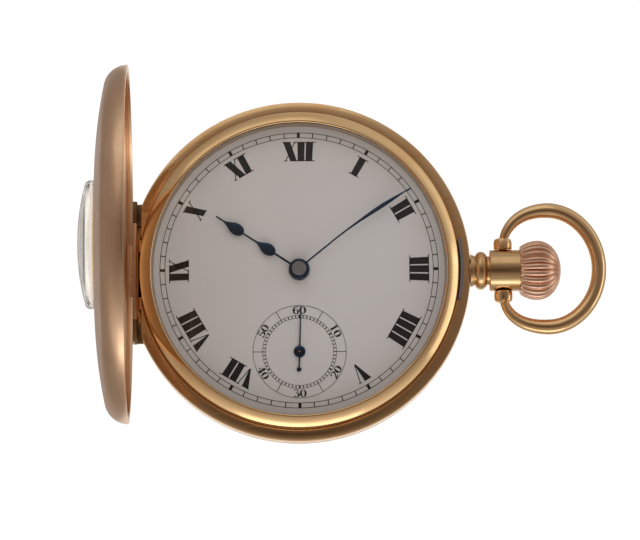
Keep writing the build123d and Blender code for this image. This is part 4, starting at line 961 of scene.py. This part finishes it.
# The minute track, the hours and the seconds circle: radii, and widths of plain and bold strokes
TRACK_CIRCLES, TRACK_LINE = (19.53, 20.25), 0.095
MINUTE_MARKS, MINUTE_WIDTHS = (19.5, 20.28), (0.14, 0.44)
HOURS = (16.1, 18.85)
SECONDS_CIRCLES, SECONDS_LINE = (4.93, 5.36), 0.06
SECONDS_MARKS, SECONDS_WIDTHS = (4.93, 5.36), (0.13, 0.24)
SECONDS_BORDER, BORDER_LINE = 6.76, 0.075
SECONDS_SPOKES, SPOKE_LINE = (5.36, 6.76), 0.1
SECONDS_FIGURES = 6.08
TRACK_STEPS, SECONDS_STEPS = 180, 96


def flat_face(mesh, corners):
    """One flat face through corners."""
    mesh.faces.new([mesh.verts.new((x * MM, y * MM, 0.0)) for x, y in corners])


def bar(mesh, start, end, wide):
    """A straight stroke between two points."""
    first, last = Vector(start), Vector(end)
    side = (last - first).orthogonal().normalized() * (wide / 2)
    flat_face(mesh, (first + side, first - side, last - side, last + side))


def ring_line(mesh, centre, radius, wide, steps=TRACK_STEPS):
    """A thin circle."""
    for step in range(steps):
        here, there = math.tau * step / steps, math.tau * (step + 1) / steps
        flat_face(mesh, [
            (centre[0] + (radius + side * wide / 2) * math.cos(angle),
             centre[1] + (radius + side * wide / 2) * math.sin(angle))
            for angle, side in ((here, -1), (here, 1), (there, 1), (there, -1))
        ])


def on_dial(bearing, radius, centre=(0.0, 0.0)):
    """Point at a bearing clockwise from twelve, in degrees."""
    angle = math.radians(90.0 - bearing)
    return (centre[0] + radius * math.cos(angle), centre[1] + radius * math.sin(angle))


def marks(mesh, centre, radii, widths, bold_every):
    """Sixty strokes round a centre, every few of them bold."""
    for count in range(60):
        near, far = (on_dial(count * PER_MINUTE, radius, centre) for radius in radii)
        bar(mesh, near, far, widths[count % bold_every == 0])


ROMAN = ("XII", "I", "II", "III", "IIII", "V", "", "VII", "VIII", "IX", "X", "XI")
STROKE = 1.05
HAIR = 0.13
TAPER = 0.08

# The numerals' letters: width, heavy strokes as (foot, top, width of the foot) and hairlines
# from end to end. Heights run from 0 at the foot to 1 at the top.
LETTERS = {
    "I": (1.25, ((0.0, 0.0, STROKE),),
          (((-0.905, 0.0), (0.905, 0.0)), ((-0.905, 1.0), (0.905, 1.0)))),
    "V": (2.0, ((0.1, -0.5, 0.2),),
          (((0.14, 0.0), (0.74, 1.0)), ((-1.12, 1.0), (0.1, 1.0)), ((0.5, 1.0), (0.98, 1.0)))),
    "X": (2.04, ((0.46, -0.46, STROKE),),
          (((-0.78, 0.0), (0.72, 1.0)), ((1.1, 0.0), (-0.14, 0.0)), ((-0.52, 0.0), (-1.02, 0.0)),
           ((-1.1, 1.0), (0.14, 1.0)), ((0.52, 1.0), (1.02, 1.0)))),
}


def roman(mesh, word, bearing, low, high):
    """A Roman numeral, its feet towards the middle, with heavy strokes and hairline serifs."""
    turn = Matrix.Rotation(math.radians(-bearing), 2)

    def spot(x, y):
        place = turn @ Vector((x * (1.0 - TAPER + TAPER * y), low + y * (high - low)))
        return (place.x, place.y)

    cursor = -sum(LETTERS[letter][0] for letter in word) / 2
    for letter in word:
        wide, strokes, hairlines = LETTERS[letter]
        middle = cursor + wide / 2
        for foot, top, foot_wide in strokes:
            foot, top = middle + foot, middle + top
            flat_face(mesh, (spot(foot - foot_wide / 2, 0.0), spot(foot + foot_wide / 2, 0.0),
                             spot(top + STROKE / 2, 1.0), spot(top - STROKE / 2, 1.0)))
        for start, end in hairlines:
            bar(mesh, spot(middle + start[0], start[1]), spot(middle + end[0], end[1]), HAIR)
        cursor += wide


def ribbon(mesh, points, place):
    """A stroke through (x, y, width) stations, put down by a place function."""
    for first, last in zip(points, points[1:]):
        start, end = Vector(first[:2]), Vector(last[:2])
        side = (end - start).orthogonal().normalized()
        corners = [start + side * first[2] / 2, start - side * first[2] / 2,
                   end - side * last[2] / 2, end + side * last[2] / 2]
        flat_face(mesh, [place(corner.x, corner.y) for corner in corners])


BOWL_SWELL = 1.4


def bowl(centre_x, centre_y, half_x, half_y, start, end, thick, thin, count=14):
    """Stations of a curved stroke, thick at its sides and thin at its top and foot."""
    stations = []
    for step in range(count + 1):
        angle = math.radians(start + (end - start) * step / count)
        width = thin + (thick - thin) * abs(math.cos(angle)) ** BOWL_SWELL
        stations.append((centre_x + half_x * math.cos(angle),
                         centre_y + half_y * math.sin(angle), width))
    return stations


# Strokes of the seconds circle's figures, in a cell of height 1, and the size of that cell
FIGURES = {
    "0": (bowl(0, 0.5, 0.27, 0.46, 0, 360, 0.24, 0.07, 24),),
    "1": (((0.0, 0.0, 0.22), (0.0, 1.0, 0.22)), ((-0.22, 0.02, 0.06), (0.22, 0.02, 0.06)),
          ((-0.24, 0.8, 0.05), (0.0, 0.98, 0.08))),
    "2": (bowl(0, 0.72, 0.26, 0.25, 170, -50, 0.2, 0.08), ((0.2, 0.52, 0.16), (-0.26, 0.06, 0.09)),
          ((-0.28, 0.07, 0.15), (0.08, 0.07, 0.17), (0.3, 0.2, 0.05))),
    "3": (((-0.26, 0.96, 0.1), (0.26, 0.96, 0.1)), ((0.26, 0.94, 0.06), (-0.04, 0.58, 0.07)),
          bowl(0, 0.3, 0.27, 0.27, 95, -150, 0.24, 0.08)),
    "4": (((0.1, 0.0, 0.22), (0.1, 1.0, 0.22)), ((0.08, 0.98, 0.07), (-0.32, 0.3, 0.07)),
          ((-0.34, 0.28, 0.07), (0.34, 0.28, 0.07)), ((-0.1, 0.02, 0.06), (0.3, 0.02, 0.06))),
    "5": (((-0.2, 0.94, 0.12), (0.26, 0.94, 0.12)), ((-0.2, 0.96, 0.07), (-0.2, 0.52, 0.07)),
          bowl(0, 0.31, 0.27, 0.28, 140, -150, 0.24, 0.08)),
    "6": (bowl(0, 0.29, 0.26, 0.27, 0, 360, 0.22, 0.07, 20),
          bowl(0.08, 0.5, 0.36, 0.46, 65, 205, 0.22, 0.1)),
}
FIGURE_WIDTH, FIGURE_HEIGHT, FIGURE_PITCH = 1.3, 1.1, 0.98


def two_figures(mesh, word, bearing, middle):
    """Two figures about a point, heads out in the upper half of the circle and in below it."""
    upright = bearing <= 90 or bearing >= 270
    turn = Matrix.Rotation(math.radians(-bearing if upright else 180.0 - bearing), 2)
    for index, figure in enumerate(word):

        def place(x, y, shift=(index - 0.5) * FIGURE_PITCH):
            spot = turn @ Vector((x * FIGURE_WIDTH + shift, (y - 0.5) * FIGURE_HEIGHT))
            return (middle[0] + spot.x, middle[1] + spot.y)

        for stroke in FIGURES[figure]:
            ribbon(mesh, stroke, place)


class WATCH_OT_dial(bpy.types.Operator):
    """Make the enamel dial with its numerals, minute track and seconds circle"""

    bl_idname = "watch.dial"
    bl_label = "Dial and its print"

    def execute(self, context):
        s = sizes()
        radius, top, hole, under = s.dial_radius / MM, s.dial_top / MM, 1.5, 8.38
        section = [(hole, under), (radius - 0.1, under), (radius, 8.48), (radius, top - 0.22)]
        section += arc((radius, top - 0.22), (radius - 0.5, top), 0.06, 4)[1:]
        section += [(1.62, top), (hole, top - 0.1)]
        finish_piece("dial_enamel", lathe(section, DISC_STEPS), "White enamel", "case",
                     hides=("dial",))
        ink = bmesh.new()
        centre, eye = (0.0, 0.0), (0.0, -s.seconds_drop / MM)
        for line in TRACK_CIRCLES:
            ring_line(ink, centre, line, TRACK_LINE)
        marks(ink, centre, MINUTE_MARKS, MINUTE_WIDTHS, 5)
        for hour, word in enumerate(ROMAN):
            roman(ink, word, hour * PER_HOUR, *HOURS)
        ring_line(ink, eye, SECONDS_BORDER, BORDER_LINE, SECONDS_STEPS)
        for line in SECONDS_CIRCLES:
            ring_line(ink, eye, line, SECONDS_LINE, SECONDS_STEPS)
        marks(ink, eye, SECONDS_MARKS, SECONDS_WIDTHS, 10)
        for second in range(5, 60, 10):
            near, far = (on_dial(second * PER_MINUTE, reach, eye) for reach in SECONDS_SPOKES)
            bar(ink, near, far, SPOKE_LINE)
        for second in range(0, 60, 10):
            bearing = second * PER_MINUTE
            two_figures(ink, str(second or 60), bearing, on_dial(bearing, SECONDS_FIGURES, eye))
        ink.normal_update()
        for face in ink.faces:
            if face.normal.z < 0:
                face.normal_flip()
        moved(ink, (0, 0, s.dial_top + PRINT_LIFT))
        finish_piece("dial_print", ink, "Dial print", "case")
        return {"FINISHED"}


# Hands, drawn along +X in millimetres. They show nine minutes past ten, as bearings in degrees.

HOUR_BEARING = 303.1
MINUTE_BEARING = 54.2
SECONDS_BEARING = 1.9
MINUTE_REACH = 20.25
MINUTE_BEND = 0.48
NEEDLE_TAIL = 2.6
NEEDLE_LEVEL = 9.06
HUB_ROUNDING = 0.03
PEAR_ROUND_STEPS, PEAR_DRAWN_STEPS = 12, 14


def slab(corners, low, thick, rounding):
    """A flat piece cut to an outline, its upper edge rounded."""
    mesh = bmesh.new()
    face = mesh.faces.new([mesh.verts.new((x * MM, y * MM, low * MM)) for x, y in corners])
    grown = bmesh.ops.extrude_face_region(mesh, geom=[face])
    top = [item for item in grown["geom"] if isinstance(item, bmesh.types.BMVert)]
    bmesh.ops.translate(mesh, vec=(0, 0, thick * MM), verts=top)
    bmesh.ops.recalc_face_normals(mesh, faces=mesh.faces)
    tall = (low + thick / 2) * MM
    rims = [edge for edge in mesh.edges
            if all(vert.co.z > tall for vert in edge.verts) and edge.calc_face_angle(0.0) > 0.5]
    ease(mesh, rims, rounding)
    return mesh


def mirrored_outline(upper):
    """Closed outline from its upper half of (reach, half width) stations."""
    return list(upper) + [(reach, -half) for reach, half in reversed(upper) if half > 0.0]


def pear(start, wide_at, end, half, stem):
    """Half widths of a pear swell: round towards the arbor, drawn out towards the tip."""
    points = []
    for step in range(PEAR_ROUND_STEPS + 1):
        angle = math.pi / 2 * step / PEAR_ROUND_STEPS
        points.append((stem + (half - stem) * math.sin(angle),
                       wide_at - (wide_at - start) * math.cos(angle)))
    for step in range(1, PEAR_DRAWN_STEPS + 1):
        share = step / PEAR_DRAWN_STEPS
        swell = 0.5 + 0.5 * math.cos(math.pi * share)
        points.append((stem + (half - stem) * swell, wide_at + (end - wide_at) * share))
    return points


def blade(stations, level, flatness):
    """A hand with a softly domed face, turned from (half width, reach) stations and flattened."""
    mesh = lathe(stations, 28, closed=False, axis="X")
    bmesh.ops.scale(mesh, vec=(1.0, 1.0, flatness), verts=mesh.verts)
    return moved(mesh, (0, 0, level * MM))


def turned_to(mesh, bearing, centre=(0.0, 0.0)):
    """Turns a hand to its bearing, clockwise from twelve, about its arbor."""
    return placed(mesh, Matrix.Translation((centre[0], centre[1], 0))
                  @ Matrix.Rotation(math.radians(90.0 - bearing), 4, "Z"))


class WATCH_OT_hands(bpy.types.Operator):
    """Make the blued hour, minute and seconds hands and the polished button"""

    bl_idname = "watch.hands"
    bl_label = "Hands"

    def execute(self, context):
        self.hour_hand()
        self.minute_hand()
        self.button()
        self.seconds_hand()
        return {"FINISHED"}

    def hour_hand(self):
        """Makes the hour hand, with its two pear swells."""
        stations = [(0.0, 0.9), (0.16, 0.95), (0.15, 4.2)] + pear(4.26, 5.42, 7.55, 0.87, 0.14)
        stations += [(0.13, 9.6)] + pear(9.7, 10.85, 13.2, 0.87, 0.13)
        stations += [(0.12, 14.35), (0.0, 14.45)]
        hub = lathe([(1.07, 9.4), (1.5, 9.4), (1.5, 9.56), (1.4, 9.62), (1.07, 9.62)],
                    HUB_STEPS, rounding=HUB_ROUNDING)
        hand = turned_to(join(blade(stations, 9.5, 0.16), hub), HOUR_BEARING)
        finish_piece("hour_hand_blued", hand, "Blued steel", "hour",
                     hides=("hour_hand",))

    def minute_hand(self):
        """Makes the minute hand, bent a little by use."""
        stations = [(0.0, 0.9), (0.13, 0.95), (0.12, 7.0), (0.13, 9.0), (0.17, 11.0),
                    (0.245, 13.0), (0.295, 14.4), (0.305, 15.3), (0.26, 16.6), (0.17, 18.0),
                    (0.1, 19.2), (0.06, 20.15), (0.0, MINUTE_REACH)]
        hand = blade(stations, 10.05, 0.3)
        for vert in hand.verts:
            bend = math.sin(math.pi * vert.co.x / (MINUTE_REACH * MM))
            vert.co.y += MINUTE_BEND * MM * bend
        hub = lathe([(0.72, 9.95), (1.48, 9.95), (1.48, 10.1), (1.38, 10.17), (0.72, 10.17)],
                    HUB_STEPS, rounding=HUB_ROUNDING)
        finish_piece("minute_hand_blued", turned_to(join(hand, hub), MINUTE_BEARING),
                     "Blued steel", "centre", hides=("minute_hand",))

    def button(self):
        """Makes the polished top of the cannon pinion, which shows through the hands."""
        button = lathe([(0.0, 10.12), (0.7, 10.12), (0.95, 10.16), (1.06, 10.2), (1.04, 10.28),
                        (0.9, 10.33), (0.45, 10.35), (0.42, 10.3), (0.2, 10.3), (0.17, 10.34),
                        (0.0, 10.35)], HUB_STEPS, closed=False)
        finish_piece("cannon_button", button, "Polished steel", "centre")
        dress("Polished steel", "cannon_pinion")

    def seconds_hand(self):
        """Makes the seconds hand: a needle on a hub, with a ball on its tail."""
        low = NEEDLE_LEVEL
        upper = [(-NEEDLE_TAIL, 0.1), (0.0, 0.12), (6.75, 0.055), (6.8, 0.0)]
        needle = slab(mirrored_outline(upper), low, 0.16, 0.03)
        hub = lathe([(0.16, low), (0.85, low), (0.85, 9.2), (0.75, 9.27), (0.3, 9.3),
                     (0.16, 9.3)], 48)
        ball = lathe([(0.0, low), (0.34, low), (0.34, 9.18), (0.26, 9.25), (0.0, 9.27)], 32,
                     closed=False)
        moved(ball, (-NEEDLE_TAIL * MM, 0, 0))
        eye = (0.0, -sizes().seconds_drop)
        finish_piece("seconds_hand_blued",
                     turned_to(join(needle, hub, ball), SECONDS_BEARING, eye), "Blued steel",
                     "fourth", hides=("seconds_hand",))


# Movement

MOVEMENT_FINISHES = {
    "Gilt brass": (
        "main_plate", "barrel_bridge", "train_bridge", "barrel_drum", "barrel_cover",
        "centre_wheel", "third_wheel", "fourth_wheel", "pallet_cock", "balance_cock",
        "minute_wheel", "hour_wheel", "balance_wheel"),
    "Polished steel": (
        "mainspring", "barrel_arbor", "ratchet_wheel", "crown_wheel", "crown_wheel_seat",
        "click", "escape_wheel", "pallet_fork", "regulator", "winding_pinion", "clutch_wheel",
        "setting_wheel", "motion_studs"),
    "Blued steel": ("bridge_screws", "ratchet_screw", "cock_screw", "hairspring"),
    "Ruby": ("jewels",),
}


class WATCH_OT_movement(bpy.types.Operator):
    """Give the movement's plates, wheels, springs and screws their finishes"""

    bl_idname = "watch.movement"
    bl_label = "Movement finishes"

    def execute(self, context):
        for material, nodes in MOVEMENT_FINISHES.items():
            dress(material, *nodes)
        return {"FINISHED"}


# Stage

# The camera: how far it leans towards -Y, its roll in degrees, half its picture's width over its
# focal length, and where it looks from how far
CAMERA_LEAN = math.radians(9.0)
CAMERA_ROLL = -0.4
HALF_VIEW = 320.0 / 3481.0
AIM = (3.04 * MM, -0.06 * MM, 9.0 * MM)
CAMERA_DISTANCE = 507.0 * MM

# The lamps: name, place, width and height in metres, and power in watts. All face the middle.
LAMPS = (
    ("key_light", (-0.3, 0.95, 0.75), 1.1, 1.0, 1.1),
    ("right_light", (1.25, -0.1, 0.3), 1.0, 0.4, 0.9),
    ("low_light", (0.0, -1.25, 0.3), 1.2, 0.4, 1.5),
)

# The studio's walls: grey level at angles from the camera's axis, in degrees
WALLS = {
    "above": ((0, 0.03), (4, 0.05), (15, 0.13), (26, 0.24), (38, 0.34), (63, 0.47), (91, 0.50),
              (110, 0.3)),
    "below": ((0, 0.05), (4, 0.1), (12, 0.2), (18, 0.3), (42, 0.38), (54, 0.7), (67, 1.05),
              (76, 1.2), (90, 1.1)),
    "left": ((0, 0.03), (8, 0.10), (19, 0.17), (35, 0.20), (70, 0.26), (95, 0.24)),
    "right": ((0, 0.03), (6, 0.09), (13, 0.14), (29, 0.15), (45, 0.19), (63, 0.32), (76, 0.6),
              (84, 1.0), (95, 1.0)),
}
WALL_WARMTH = 0.45
MATT_FILL = 0.95


def studio_world():
    """Sky of the studio: dark about the camera, pale cloths above and below, dim side walls."""
    world = bpy.data.worlds.new("studio")
    world.use_nodes = True
    tree = world.node_tree
    around = add_node(tree, "ShaderNodeTexCoord").outputs["Generated"]
    turned = add_node(tree, "ShaderNodeVectorRotate", rotation_type="X_AXIS", Vector=around,
                      Angle=-CAMERA_LEAN).outputs["Vector"]
    parts = add_node(tree, "ShaderNodeSeparateXYZ", Vector=turned).outputs
    away = calculate(tree, "DIVIDE", calculate(tree, "ARCCOSINE", parts["Z"]), math.pi)
    walls = {
        side: ramp(tree, away, [(angle / 180.0, level) for angle, level in stops], WALL_WARMTH)
        for side, stops in WALLS.items()
    }

    def parted(first, second, axis):
        """The first wall where the axis is below zero and the second where it is above."""
        sign = calculate(tree, "GREATER_THAN", parts[axis], 0.0)
        return mixed(tree, sign, walls[first], walls[second])

    across, along = (calculate(tree, "MULTIPLY", parts[axis], parts[axis]) for axis in "XY")
    lean = calculate(tree, "DIVIDE", along, calculate(tree, "ADD", across, along))
    path = add_node(tree, "ShaderNodeLightPath").outputs
    feed(tree.nodes["Background"],
         Color=mixed(tree, lean, parted("left", "right", "X"), parted("below", "above", "Y")),
         Strength=calculate(tree, "MULTIPLY_ADD", path["Is Diffuse Ray"], MATT_FILL, 1.0))
    return world


class WATCH_OT_stage(bpy.types.Operator):
    """Make the floor, the lights, the world and the camera"""

    bl_idname = "watch.stage"
    bl_label = "Studio stage"

    def execute(self, context):
        scene = context.scene
        mesh = bmesh.new()
        bmesh.ops.create_grid(mesh, x_segments=1, y_segments=1, size=1.5)
        data = bpy.data.meshes.new("floor")
        mesh.to_mesh(data)
        mesh.free()
        data.materials.append(finish("Pale floor"))
        floor = bpy.data.objects.new("floor", data)
        scene.collection.objects.link(floor)

        lens = bpy.data.cameras.new("camera")
        lens.sensor_fit = "HORIZONTAL"
        lens.angle = 2 * math.atan(HALF_VIEW)
        lens.clip_start = 0.01
        camera = bpy.data.objects.new("camera", lens)
        aim = Vector(AIM)
        lean = Vector((0.0, -math.sin(CAMERA_LEAN), math.cos(CAMERA_LEAN)))
        camera.location = aim + lean * CAMERA_DISTANCE
        facing = (aim - camera.location).to_track_quat("-Z", "Y").to_matrix()
        roll = Matrix.Rotation(math.radians(CAMERA_ROLL), 3, "Z")
        camera.rotation_euler = (facing @ roll).to_euler()
        scene.collection.objects.link(camera)
        scene.camera = camera

        for name, place, wide, tall, power in LAMPS:
            lamp = bpy.data.lights.new(name, "AREA")
            lamp.shape = "RECTANGLE"
            lamp.size = wide
            lamp.size_y = tall
            lamp.energy = power
            light = bpy.data.objects.new(name, lamp)
            light.location = place
            light.rotation_euler = (-Vector(place)).to_track_quat("-Z", "Y").to_euler()
            scene.collection.objects.link(light)

        scene.world = studio_world()
        scene.view_settings.view_transform = "Standard"
        return {"FINISHED"}


class WATCH_PT_pieces(bpy.types.Panel):
    """Lists the watch's pieces and settings in the sidebar"""

    bl_idname = "WATCH_PT_pieces"
    bl_label = "Half hunter pocket watch"
    bl_space_type = "VIEW_3D"
    bl_region_type = "UI"
    bl_category = "Watch"

    def draw(self, context):
        layout = self.layout
        for operator in OPERATORS:
            layout.operator(operator.bl_idname)
        for group in (context.scene.watch_sizes, context.scene.watch_colours):
            for name in group.__annotations__:
                layout.prop(group, name)


OPERATORS = (
    WATCH_OT_stage, WATCH_OT_case_band, WATCH_OT_bezel, WATCH_OT_front_lid, WATCH_OT_back_covers,
    WATCH_OT_pendant, WATCH_OT_bow, WATCH_OT_crown, WATCH_OT_dial, WATCH_OT_hands,
    WATCH_OT_movement,
)
CLASSES = (WatchSizes, WatchColours) + OPERATORS + (WATCH_PT_pieces,)


def register():
    """Makes the classes and the settings known."""
    for item in CLASSES:
        bpy.utils.register_class(item)
    bpy.types.Scene.watch_sizes = bpy.props.PointerProperty(type=WatchSizes)
    bpy.types.Scene.watch_colours = bpy.props.PointerProperty(type=WatchColours)


def unregister():
    """Takes the settings and the classes back."""
    del bpy.types.Scene.watch_colours
    del bpy.types.Scene.watch_sizes
    for item in reversed(CLASSES):
        bpy.utils.unregister_class(item)


def main():
    """Makes everything in order."""
    register()
    for operator in OPERATORS:
        family, action = operator.bl_idname.split(".")
        getattr(getattr(bpy.ops, family), action)()


if __name__ == "__main__":
    main()
